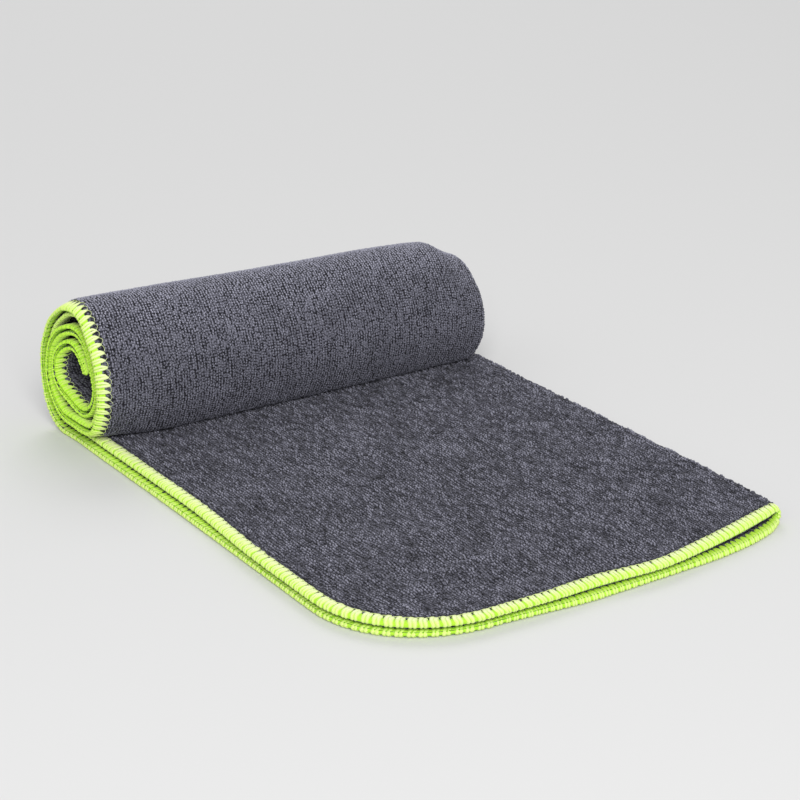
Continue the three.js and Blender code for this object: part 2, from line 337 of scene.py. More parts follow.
@dataclass(frozen=True)
class SoftNoise:
    """A smooth field of gentle highs and lows over a plane, the same on every run."""

    seed: int
    wavelength: float
    waves: int = 14
    length_range: Span = Span(0.6, 1.7)

    def at(self, x: np.ndarray, y: np.ndarray) -> np.ndarray:
        """Gives the field's height at each point.

        Args:
            x: First coordinate, in the unit of the wavelength.
            y: Second coordinate.

        Returns:
            Heights spread about 0, mostly within 1 of it.
        """
        random = np.random.default_rng(self.seed)
        height = np.zeros(np.broadcast(x, y).shape)
        for _ in range(self.waves):
            heading = random.uniform(0, 2 * math.pi)
            length = self.wavelength * random.uniform(*self.length_range)
            start = random.uniform(0, 2 * math.pi)
            along = x * math.cos(heading) + y * math.sin(heading)
            height += np.cos(along * 2 * math.pi / length + start)
        return height / math.sqrt(self.waves)


@dataclass
class TowelForm:
    """The shape that the folded and rolled sheet keeps, in mm from its near open corner.

    A place on the sheet is given by across, the distance in from the lower ply's cut edge round
    the fold to the upper ply's, and by along, the distance from the near end into the roll.
    """

    folded_width: float = 201.5
    ply_reach: float = 198.5
    loop_length: float = 6.0
    roll_along: float = 244.0
    roll_height: float = 34.0
    ply_pitch: float = 3.7
    mouth: Span = Span(120.0, 192.0)
    mouth_height: float = 1.3
    mouth_fade: float = 60.0
    corner_radius: float = 50.0
    pressed: Span = Span(15.0, 80.0)
    pressed_share: float = 0.84
    inner_pressed: Span = Span(300.0, 460.0)
    inner_pressed_share: float = 0.68
    recess: Span = Span(90.0, 150.0)
    recess_near: float = -0.4
    recess_far: float = 1.9
    inner_recess: Span = Span(200.0, 420.0)
    inner_recess_share: float = 0.2
    open_edge_moves_from: float = 150.0
    fold_moves_from: float = 200.0
    fold_pull: float = 3.0
    fold_pull_fade: float = 22.0
    stack_top: float = 7.3
    rest_softness: float = 2.0
    bend_span: float = 7.0
    swell_reach: float = 9.0
    belly_reach: float = 34.0
    near_end_reach: float = 160.0
    edge_shift_power: int = 4
    path_step: float = 1.0
    curves: dict[str, Curve] = field(init=False)
    path: np.ndarray = field(init=False)
    path_turns: np.ndarray = field(init=False)

    def __post_init__(self) -> None:
        """Reads the tables, and measures the length of the winding."""
        self.curves = {
            name: Curve.through(WINDING, "turn", name) for name in TurnRow._fields[1:]
        }
        self.curves["loss"] = Curve.through(CROWN, "across", "loss")
        self.curves["near_lower"] = Curve.through(NEAR_END, "across", "lower")
        self.curves["near_upper"] = Curve.through(NEAR_END, "across", "upper")
        last = WINDING[-1].turn
        self.path_turns = np.arange(0, last + self.path_step, self.path_step)
        middle = np.full_like(self.path_turns, self.folded_width / 2)
        y, z = self.wound_face(self.path_turns, middle)
        steps = np.hypot(np.diff(y), np.diff(z))
        self.path = self.roll_along + np.concatenate([[0.0], np.cumsum(steps)])

    @property
    def width(self) -> float:
        """The sheet's whole width, round the fold."""
        return 2 * self.ply_reach + self.loop_length

    @property
    def length(self) -> float:
        """The sheet's whole length, to the inner end of the roll."""
        return float(self.path[-1])

    def turn_at(self, along: np.ndarray) -> np.ndarray:
        """Gives the turn of the roll at a distance along the sheet, 0 on the flat part."""
        return np.interp(along, self.path, self.path_turns)

    def along_at(self, turn: float) -> float:
        """Gives the distance along the sheet at a turn of the roll."""
        return float(np.interp(turn, self.path_turns, self.path))

    def open_edge(self, along: np.ndarray, turn: np.ndarray) -> np.ndarray:
        """Gives the X of the lower ply's cut edge."""
        flat = WINDING[0].end * smooth_step(along, self.open_edge_moves_from, self.roll_along)
        return np.where(along < self.roll_along, flat, self.curves["end"].at(turn))

    def fold_side(self, along: np.ndarray, turn: np.ndarray) -> np.ndarray:
        """Gives the X of the outside of the fold.

        Args:
            along: Distance along the sheet.
            turn: Turn of the roll there.

        Returns:
            The X.
        """
        pull = self.fold_pull * np.exp(-along / self.fold_pull_fade)
        move = smooth_step(along, self.fold_moves_from, self.roll_along)
        flat = blend(self.folded_width, WINDING[0].fold, move) - pull
        return np.where(along < self.roll_along, flat, self.curves["fold"].at(turn))

    def layer_share(self, turn: np.ndarray) -> np.ndarray:
        """Gives the share of its thickness that the cloth keeps at a turn."""
        share = blend(1.0, self.pressed_share, smooth_step(turn, *self.pressed))
        return blend(share, self.inner_pressed_share, smooth_step(turn, *self.inner_pressed))

    def upper_recess(self, along: np.ndarray, turn: np.ndarray) -> np.ndarray:
        """Gives how far the upper ply's cut edge lies behind the lower one's.

        Args:
            along: Distance along the sheet.
            turn: Turn of the roll there.

        Returns:
            The distance, below 0 where the upper edge is the one further out.
        """
        recess = blend(self.recess_near, self.recess_far, smooth_step(along, *self.recess))
        wound = smooth_step(turn, *self.inner_recess)
        return recess * blend(1.0, self.inner_recess_share, wound)

    def pitch(self, along: np.ndarray, turn: np.ndarray, x: np.ndarray) -> np.ndarray:
        """Gives the distance from the lower ply to the upper one.

        Args:
            along: Distance along the sheet.
            turn: Turn of the roll there.
            x: Place across the towel.

        Returns:
            The distance between the two plies' like faces.
        """
        mouth = np.exp(-along / self.mouth_fade) * smooth_step(x, *self.mouth)
        return self.ply_pitch * self.layer_share(turn) + self.mouth_height * mouth

    def ridge_height(self, x: np.ndarray, y: np.ndarray) -> np.ndarray:
        """Gives the height of the ridges and folds in the flat part's upper ply.

        Args:
            x: Place across the towel.
            y: Place along it.

        Returns:
            The height, below 0 in a trough.
        """
        height = np.zeros(np.broadcast(x, y).shape)
        for ridge in RIDGES + SOFT_FOLDS:
            heading = math.radians(ridge.heading)
            right = x - ridge.across
            back = y - ridge.along
            along = (math.cos(heading) * right + math.sin(heading) * back) / ridge.half_length
            beside = (math.cos(heading) * back - math.sin(heading) * right) / ridge.half_width
            height += ridge.height * np.exp(-along * along - beside * beside)
        return height

    def wound_face(self, turn: np.ndarray, x: np.ndarray) -> tuple[np.ndarray, np.ndarray]:
        """Gives the lower ply's outer face on the roll, as y and z.

        Args:
            turn: Turn of the roll, in degrees.
            x: Place along the roll.

        Returns:
            The y and the z of the face.
        """
        inward = np.clip((x - self.curves["end"].at(turn)) / self.swell_reach, 0, 1)
        swell = self.curves["swell"].at(turn) * (1 - (1 - inward) ** 2)
        belly = self.curves["belly"].at(turn) * smooth_step(x, 0, self.belly_reach)
        radius = self.curves["radius"].at(turn) + swell + belly
        angle = np.radians(turn)
        height = self.roll_height - radius * np.cos(angle)
        loss = self.curves["loss"].at(x) * np.maximum(0, height - self.stack_top)
        y = self.roll_along + radius * np.sin(angle)
        clear = height - loss - self.stack_top
        resting = self.stack_top + (clear + np.hypot(clear, self.rest_softness)) / 2
        z = np.where(turn < 180, np.maximum(0, height - loss), resting)
        return y, z

    def wound_point(self, turn: np.ndarray, x: np.ndarray, depth: np.ndarray) -> np.ndarray:
        """Gives a point at a depth inside the lower ply's outer face on the roll.

        Args:
            turn: Turn of the roll, in degrees.
            x: Place along the roll.
            depth: Depth below the outer face.

        Returns:
            The points, one a row.
        """
        y, z = self.wound_face(turn, x)
        back = self.wound_face(np.maximum(0, turn - self.bend_span), x)
        ahead = self.wound_face(np.minimum(WINDING[-1].turn, turn + self.bend_span), x)
        run = ahead[0] - back[0]
        rise = ahead[1] - back[1]
        length = np.hypot(run, rise)
        return np.stack([x, y - depth * rise / length, z + depth * run / length], -1)

    def round_corner(
        self, x: np.ndarray, y: np.ndarray, outline: np.ndarray
    ) -> tuple[np.ndarray, np.ndarray]:
        """Moves a point of the square sheet onto the sheet with its round corner.

        Args:
            x: Distance in from the cut edge.
            y: Distance from the near end.
            outline: How far the grid's own outline lies inside the cut edge.

        Returns:
            The point's new x and y.
        """
        reach = self.corner_radius - outline
        u = (self.corner_radius - x) / reach
        v = (self.corner_radius - y) / reach
        inside = (u > 0) & (v > 0)
        round_x = self.corner_radius - reach * u * np.sqrt(np.maximum(0, 1 - v * v / 2))
        round_y = self.corner_radius - reach * v * np.sqrt(np.maximum(0, 1 - u * u / 2))
        return np.where(inside, round_x, x), np.where(inside, round_y, y)

    def inset(self, across: np.ndarray) -> np.ndarray:
        """Gives the distance in from the nearer of the two cut edges."""
        return np.where(across < self.width / 2, across, self.width - across)

    def point(
        self,
        across: np.ndarray,
        along: np.ndarray,
        depth: np.ndarray,
        thickness: float,
        outline: np.ndarray,
    ) -> np.ndarray:
        """Gives a point of the folded and rolled sheet.

        Args:
            across: Place across the sheet, round the fold.
            along: Place along the sheet.
            depth: Depth below the folded towel's outer face.
            thickness: Thickness of the layer, to which the depth belongs.
            outline: How far the grid's own outline lies inside the cut edge.

        Returns:
            The points in mm, in an array with one more axis.
        """
        across, along, depth, outline = np.broadcast_arrays(across, along, depth, outline)
        turn = self.turn_at(along)
        share = self.layer_share(turn)
        layer = thickness * share
        inward = depth * share
        fold_x = self.fold_side(along, turn)
        loop_pitch = self.pitch(along, turn, fold_x)
        loop_radius = (loop_pitch + layer) / 2
        is_loop = np.abs(across - self.width / 2) < self.loop_length / 2
        is_upper = across > self.width / 2
        angle = math.pi * (across - self.width / 2) / self.loop_length
        radius = loop_radius - inward
        loop_x = fold_x - loop_radius + radius * np.cos(angle)
        loop_depth = loop_radius + radius * np.sin(angle)
        inset = self.inset(across)
        recess = self.upper_recess(along, turn) * is_upper
        shift = np.clip(inset / self.folded_width, 0, 1) ** self.edge_shift_power
        edge_x = self.open_edge(along, turn) + recess
        ply_x = inset + blend(edge_x, fold_x - self.folded_width, shift)
        ply_x = np.minimum(ply_x, fold_x - loop_radius)
        ply_depth = np.where(
            is_upper, self.pitch(along, turn, ply_x) + layer - inward, inward
        )
        x = np.where(is_loop, loop_x, ply_x)
        total_depth = np.where(is_loop, loop_depth, ply_depth)
        wound = self.wound_point(turn, x, total_depth)
        corner_x, corner_y = self.round_corner(x, along, outline)
        upper_share = np.clip(total_depth / (loop_pitch + layer), 0, 1)
        back = blend(
            self.curves["near_lower"].at(corner_x),
            self.curves["near_upper"].at(corner_x),
            upper_share,
        )
        nearness = (1 - np.clip(corner_y / self.near_end_reach, 0, 1)) ** 2
        ridge = np.where(is_upper & ~is_loop, self.ridge_height(corner_x, corner_y), 0)
        flat = np.stack([corner_x, corner_y + back * nearness, total_depth + ridge], -1)
        return np.where((along >= self.roll_along)[..., None], wound, flat)

    def cloth_place(
        self, across: np.ndarray, along: np.ndarray, outline: float
    ) -> tuple[np.ndarray, np.ndarray]:
        """Gives where a place lies on the unrolled cloth with its round corners.

        Args:
            across: Place across the sheet, round the fold.
            along: Place along the sheet.
            outline: How far the grid's own outline lies inside the cut edge.

        Returns:
            The place across and along the flat cloth, in mm.
        """
        x, y = self.round_corner(self.inset(across), along, np.asarray(outline))
        return np.where(across > self.width / 2, self.width - x, x), y


@dataclass
class MeshBuilder:
    """Gathers points and faces into one Blender mesh, with a map of the cloth or thread."""

    points: list[np.ndarray] = field(default_factory=list)
    places: list[np.ndarray] = field(default_factory=list)
    tones: list[np.ndarray] = field(default_factory=list)
    faces: list[np.ndarray] = field(default_factory=list)
    count: int = 0

    def add_points(
        self, points: np.ndarray, places: np.ndarray, tones: np.ndarray | None = None
    ) -> np.ndarray:
        """Adds points and gives their numbers.

        Args:
            points: The points in mm, with the coordinates on the last axis.
            places: Each point's place on the flat cloth or along its thread, in mm.
            tones: Each point's tone, from 0 in a hollow to 1 on a crest: painted shade in hollows
                and painted light on crests.

        Returns:
            The points' numbers, in an array shaped as theirs without the last axis.
        """
        shape = points.shape[:-1]
        size = int(np.prod(shape))
        self.points.append(points.reshape(-1, 3))
        self.places.append(places.reshape(-1, 2))
        self.tones.append(np.ones(size) if tones is None else tones.reshape(-1))
        numbers = np.arange(self.count, self.count + size).reshape(shape)
        self.count += size
        return numbers

    def add_quads(self, grid: np.ndarray, flip: bool = False) -> None:
        """Covers a grid of numbered points with quads.

        Args:
            grid: The points' numbers, in rows and columns.
            flip: Whether the faces look the other way.
        """
        corners = [grid[:-1, :-1], grid[:-1, 1:], grid[1:, 1:], grid[1:, :-1]]
        if flip:
            corners.reverse()
        self.faces.append(np.stack(corners, -1).reshape(-1, 4))

    def zip_lines(
        self,
        first: np.ndarray,
        first_at: np.ndarray,
        second: np.ndarray,
        second_at: np.ndarray,
        flip: bool = False,
    ) -> None:
        """Joins two lines of points that have different spacings with a strip of triangles.

        Args:
            first: The first line's point numbers.
            first_at: Where each lies along the line.
            second: The second line's point numbers.
            second_at: Where each lies along the line.
            flip: Whether the faces look the other way.
        """
        i = 0
        j = 0
        triangles = []
        while i < len(first) - 1 or j < len(second) - 1:
            step_first = i < len(first) - 1 and (
                j == len(second) - 1 or first_at[i + 1] <= second_at[j + 1]
            )
            if step_first:
                triangles.append((first[i], first[i + 1], second[j]))
                i += 1
            else:
                triangles.append((first[i], second[j + 1], second[j]))
                j += 1
        strip = np.array(triangles)
        if flip:
            strip = strip[:, ::-1]
        self.faces.append(strip)

    def mesh(self, name: str) -> bpy.types.Mesh:
        """Makes the Blender mesh.

        Args:
            name: The mesh's name.

        Returns:
            The mesh, in metres, shaded smooth, with its map and its tones.
        """
        points = np.concatenate(self.points) * MM
        data = bpy.data.meshes.new(name)
        corners = np.concatenate([faces.reshape(-1) for faces in self.faces])
        sizes = np.concatenate([np.full(len(f), f.shape[1]) for f in self.faces])
        starts = np.concatenate([[0], np.cumsum(sizes)[:-1]])
        data.vertices.add(len(points))
        data.vertices.foreach_set("co", points.astype(np.float32).ravel())
        data.loops.add(len(corners))
        data.loops.foreach_set("vertex_index", corners.astype(np.int32))
        data.polygons.add(len(sizes))
        data.polygons.foreach_set("loop_start", starts.astype(np.int32))
        data.polygons.foreach_set("loop_total", sizes.astype(np.int32))
        data.update(calc_edges=True)
        data.polygons.foreach_set("use_smooth", np.ones(len(sizes), bool))
        places = np.concatenate(self.places)[corners] * MM
        uv = data.uv_layers.new(name="cloth_place")
        uv.data.foreach_set("uv", places.astype(np.float32).ravel())
        tone = data.attributes.new(name="tone", type="FLOAT", domain="POINT")
        tone.data.foreach_set("value", np.concatenate(self.tones).astype(np.float32))
        data.validate()
        return data


@dataclass
class TerryCloth:
    """The one sheet of terry, meshed finely where it shows and coarsely where it is hidden."""

    form: TowelForm
    thickness: float = 3.0
    rim: float = 0.8
    fine_step: float = 2.2
    coarse_step: float = 4.5
    inner_step: float = 3.4
    pressed_depth: float = 0.62
    pressed_reach: float = 6.8
    pile_roughness: float = 0.04
    clump_height: float = 0.05
    roughness_limit: float = 2.0
    clump_passes: int = 2
    near_rim: tuple[float, ...] = (1.9, 3.2, 4.5, 5.8)
    even_from: float = 7.2
    inner_near_rim: tuple[float, ...] = (2.6, 5.0)
    inner_even_from: float = 8.0
    fold_gap: float = 1.5
    fold_places: Span = Span(0.02, 0.98)
    fold_columns: int = 11
    floor_reach: float = 12.0
    hidden_from_turn: float = 352.0
    seed: int = 41

    def columns(self, lower_step: float, upper_step: float) -> np.ndarray:
        """Gives the places of a grid's columns across the sheet.

        Args:
            lower_step: Spacing on the lower ply, in mm.
            upper_step: Spacing on the upper ply.

        Returns:
            The places, from the lower cut edge round the fold to the upper one.
        """
        form = self.form
        last = form.ply_reach - self.fold_gap
        edge = np.array([self.rim, *self.near_rim])
        lower = self.rows(self.even_from, last, lower_step)
        upper = self.rows(self.even_from, last, upper_step)
        fold = form.ply_reach + form.loop_length * np.linspace(*self.fold_places, self.fold_columns)
        return np.concatenate(
            [edge, lower, fold, form.width - upper[::-1], form.width - edge[::-1]]
        )

    def rows(self, start: float, end: float, step: float) -> np.ndarray:
        """Gives evenly spaced places from start to end, with both of them."""
        return np.linspace(start, end, max(2, round((end - start) / step) + 1))

    def rim_distance(self, across: np.ndarray, along: np.ndarray) -> np.ndarray:
        """Gives the distance from the sheet's cut edge, round its corners.

        Args:
            across: Place across the sheet.
            along: Place along it.

        Returns:
            The distance in mm.
        """
        form = self.form
        radius = form.corner_radius
        inset = form.inset(across)
        x, y = form.round_corner(inset, along, np.asarray(self.rim))
        round_distance = radius - np.hypot(radius - x, radius - y)
        straight = np.minimum(np.minimum(x, y), form.length - along)
        return np.where((x < radius) & (y < radius), round_distance, straight)

    def pile(self, shape: tuple[int, int], seed: int) -> np.ndarray:
        """Gives the uneven height of the pile over a grid of points.

        Args:
            shape: The grid's rows and columns.
            seed: Seed of the unevenness.

        Returns:
            Heights in mm, spread about 0.
        """
        raw = np.random.default_rng(seed).normal(size=shape)
        clumps = raw.copy()
        for axis in (0, 1):
            for _ in range(self.clump_passes):
                clumps = (clumps + np.roll(clumps, 1, axis) + np.roll(clumps, -1, axis)) / 3
        clumps /= clumps.std()
        limit = self.roughness_limit
        return self.pile_roughness * np.clip(raw, -limit, limit) + self.clump_height * clumps

    def skin(
        self, builder: MeshBuilder, across: np.ndarray, along: np.ndarray, inner: bool, seed: int
    ) -> np.ndarray:
        """Adds one grid of the cloth's outer or inner skin.

        Args:
            builder: The mesh that it joins.
            across: Places of the columns.
            along: Places of the rows.
            inner: Whether it is the skin that looks at the other ply.
            seed: Seed of the pile's unevenness.

        Returns:
            The numbers of its points, in rows and columns.
        """
        form = self.form
        a, b = np.meshgrid(across, along)
        distance = self.rim_distance(a, b)
        free = smooth_step(distance, self.rim, self.pressed_reach)
        sunk = self.pressed_depth * (1 - free)
        raised = self.pile(a.shape, seed) * free
        on_lower = (a < form.width / 2) & (b < form.roll_along + self.floor_reach)
        on_floor = on_lower & (not inner)
        raised = np.where(on_floor, np.minimum(raised, 0), raised)
        outward = sunk - raised
        depth = self.thickness - outward if inner else outward
        points = form.point(a, b, depth, self.thickness, np.asarray(self.rim))
        points[..., 2] = np.maximum(points[..., 2], 0)
        place_across, place_along = form.cloth_place(a, b, self.rim)
        grid = builder.add_points(points, np.stack([place_across, place_along], -1))
        builder.add_quads(grid, flip=inner)
        return grid

    def build(self) -> bpy.types.Object:
        """Builds the cloth as one closed sheet.

        Returns:
            The cloth's object.
        """
        form = self.form
        builder = MeshBuilder()
        hidden = form.along_at(self.hidden_from_turn)
        end = form.length - self.rim
        flat_end = form.roll_along - self.fine_step
        flat_rows = np.concatenate(
            [[self.rim, *self.near_rim], self.rows(self.even_from, flat_end, self.fine_step)]
        )
        turn_rows = self.rows(form.roll_along, hidden, self.fine_step)
        deep_rows = self.rows(hidden + self.inner_step, end, self.inner_step)
        flat_columns = self.columns(self.coarse_step, self.fine_step)
        turn_columns = self.columns(self.fine_step, self.coarse_step)
        deep_columns = self.columns(self.coarse_step, self.coarse_step)
        flat = self.skin(builder, flat_columns, flat_rows, False, self.seed)
        turn = self.skin(builder, turn_columns, turn_rows, False, self.seed + 1)
        deep = self.skin(builder, deep_columns, deep_rows, False, self.seed + 2)
        builder.zip_lines(flat[-1], flat_columns, turn[0], turn_columns)
        builder.zip_lines(turn[-1], turn_columns, deep[0], deep_columns)
        inner_even = self.rows(self.inner_even_from, end, self.inner_step)
        inner_rows = np.concatenate([[self.rim, *self.inner_near_rim], inner_even])
        inner = self.skin(builder, deep_columns, inner_rows, True, self.seed + 3)
        rows = np.concatenate([flat_rows, turn_rows, deep_rows])
        builder.zip_lines(inner[0], deep_columns, flat[0], flat_columns)
        builder.zip_lines(deep[-1], deep_columns, inner[-1], deep_columns)
        for side in (0, -1):
            outer_line = np.concatenate([flat[:, side], turn[:, side], deep[:, side]])
            builder.zip_lines(outer_line, rows, inner[:, side], inner_rows, flip=side == 0)
        return place_piece("towel_terry", builder.mesh("towel_terry"))


@dataclass
class CutEdge:
    """The line of the sheet's cut edge, right round, as the places just inside it."""

    form: TowelForm
    step: float = 0.5
    end_corner: float = 7.0
    thickness: float = 3.2
    rows: np.ndarray = field(init=False)
    distances: np.ndarray = field(init=False)

    def __post_init__(self) -> None:
        """Lays out the edge and measures its length.

        Each row holds the place across at the edge and its change for each mm inwards, and the
        place along with its change.
        """
        form = self.form
        radius = form.corner_radius
        width = form.width
        length = form.length
        count = round(radius * math.pi / 4 / self.step)
        bend = math.sqrt(2) * np.sin(np.linspace(0, math.pi / 4, count, endpoint=False))
        rest = radius - radius * bend
        corner = self.end_corner
        ones = np.ones(count)
        zeros = np.zeros(count)
        shoulder = np.stack([zeros, ones, rest, bend], -1)
        toe = np.stack([rest, bend, zeros, ones], -1)[::-1]
        far_toe = np.stack([width - rest, -bend, zeros, ones], -1)
        far_shoulder = np.stack([width - zeros, -ones, rest, bend], -1)[::-1]
        self.rows = np.concatenate(
            [
                [[0, 1, length, -1]],
                self.straight((0, length - corner), (0, radius), (1, 0)),
                shoulder,
                toe,
                self.straight((radius, 0), (width - radius, 0), (0, 1)),
                far_toe,
                far_shoulder,
                self.straight((width, radius), (width, length - corner), (-1, 0)),
                [[width, -1, length, -1]],
                self.straight((width - corner, length), (corner, length), (0, -1)),
            ]
        )
        self.rows = np.concatenate([self.rows, self.rows[:1]])
        across, _, along, _ = self.rows.T
        depth = self.thickness / 2
        middle = form.point(across, along, depth, self.thickness, np.zeros(len(self.rows)))
        steps = np.linalg.norm(np.diff(middle, axis=0), axis=-1)
        self.distances = np.concatenate([[0.0], np.cumsum(steps)])

    def straight(self, start: tuple, end: tuple, inward: tuple) -> np.ndarray:
        """Lays out a straight stretch of the edge, without its last point.

        Args:
            start: The place across and the place along where it starts.
            end: Where it ends.
            inward: How much each of the two changes for each mm inwards.

        Returns:
            The stretch's rows.
        """
        span = math.dist(start, end)
        share = np.arange(0, span, self.step)[:, None] / span
        places = np.array(start) + share * (np.array(end) - np.array(start))
        slope = np.broadcast_to(inward, places.shape)
        return np.stack([places[:, 0], slope[:, 0], places[:, 1], slope[:, 1]], -1)

    @property
    def length(self) -> float:
        """The whole length of the edge, in mm."""
        return float(self.distances[-1])

    def places(self, distance: np.ndarray, inset: np.ndarray) -> tuple[np.ndarray, np.ndarray]:
        """Gives the place on the sheet at a distance round the edge.

        Args:
            distance: Distance round the edge, which may pass its whole length.
            inset: Distance in from the cut edge.

        Returns:
            The place across and the place along.
        """
        at = np.mod(distance, self.length)
        across, inward_across, along, inward_along = (
            np.interp(at, self.distances, column) for column in self.rows.T
        )
        return across + inward_across * inset, along + inward_along * inset

    def point(
        self, distance: np.ndarray, inset: np.ndarray, depth: np.ndarray, thickness: float
    ) -> np.ndarray:
        """Gives a point in or on the edging.

        Args:
            distance: Distance round the edge.
            inset: Distance in from the cut edge.
            depth: Depth below the folded towel's outer face.
            thickness: Thickness of the edging.

        Returns:
            The points in mm.
        """
        distance, inset, depth = np.broadcast_arrays(distance, inset, depth)
        across, along = self.places(distance, inset)
        return self.form.point(across, along, depth, thickness, inset)


def unit(vectors: np.ndarray) -> np.ndarray:
    """Gives the vectors with a length of 1."""
    return vectors / np.maximum(np.linalg.norm(vectors, axis=-1, keepdims=True), SHORTEST)


@dataclass
class Thread:
    """Threads of one kind, each swept along its own path with an oval section."""

    sides: int
    closed: bool = False
    # Painted shade: the tone that a thread's sides fall to, away from its crest.
    side_tone: float = 0.58

    def sweep(
        self,
        builder: MeshBuilder,
        path: np.ndarray,
        heart: np.ndarray,
        half_width: np.ndarray,
        half_height: np.ndarray,
        tone: np.ndarray,
    ) -> None:
        """Adds threads to a mesh.

        Args:
            builder: The mesh that they join.
            path: Points of each thread's middle line, as threads, steps and coordinates.
            heart: Points on the side that each thread lies against.
            half_width: Half its width at each step.
            half_height: Half its height at each step.
            tone: Tone of its crest at each step, which paints light; the sides get painted shade.
        """
        if self.closed:
            tangent = np.roll(path, -1, 1) - np.roll(path, 1, 1)
        else:
            tangent = np.gradient(path, axis=1)
        tangent = unit(tangent)
        side = unit(np.cross(tangent, path - heart))
        up = np.cross(side, tangent)
        angle = np.arange(self.sides) * 2 * math.pi / self.sides
        right = side[:, :, None] * (half_width[..., None] * np.cos(angle))[..., None]
        rise = up[:, :, None] * (half_height[..., None] * np.sin(angle))[..., None]
        points = path[:, :, None] + right + rise
        points[..., 2] = np.maximum(points[..., 2], 0)
        steps = np.linalg.norm(np.diff(path, axis=1), axis=-1)
        run = np.concatenate([np.zeros((len(path), 1)), np.cumsum(steps, 1)], 1)
        round_place = np.broadcast_to(angle, points.shape[:-1])
        along = np.broadcast_to(run[..., None], points.shape[:-1])
        # Painted shade: each thread darkens from its crest toward the side that lies against the
        # cloth.
        crest = tone[..., None] * blend(self.side_tone, 1.0, (1 + np.sin(angle)) / 2)
        grid = builder.add_points(points, np.stack([round_place, along], -1), crest)
        around = np.concatenate([grid, grid[:, :, :1]], 2)
        if self.closed:
            around = np.concatenate([around, around[:, :1]], 1)
        corners = [around[:, :-1, :-1], around[:, :-1, 1:], around[:, 1:, 1:], around[:, 1:, :-1]]
        builder.faces.append(np.stack(corners, -1).reshape(-1, 4))
        if not self.closed:
            builder.faces.append(grid[:, 0, ::-1])
            builder.faces.append(grid[:, -1])


@dataclass(frozen=True)
class EdgeThread:
    """A thread that runs right round the edge and repeats its wave at each stitch.

    inset and depth are in mm at each step of the wave, lead is how far it runs ahead, as a share
    of a stitch, and play is the share of its swing that it keeps at each stitch.
    """

    name: str
    inset: np.ndarray
    depth: np.ndarray
    lead: float
    radius: float
    tone: float
    play: np.ndarray


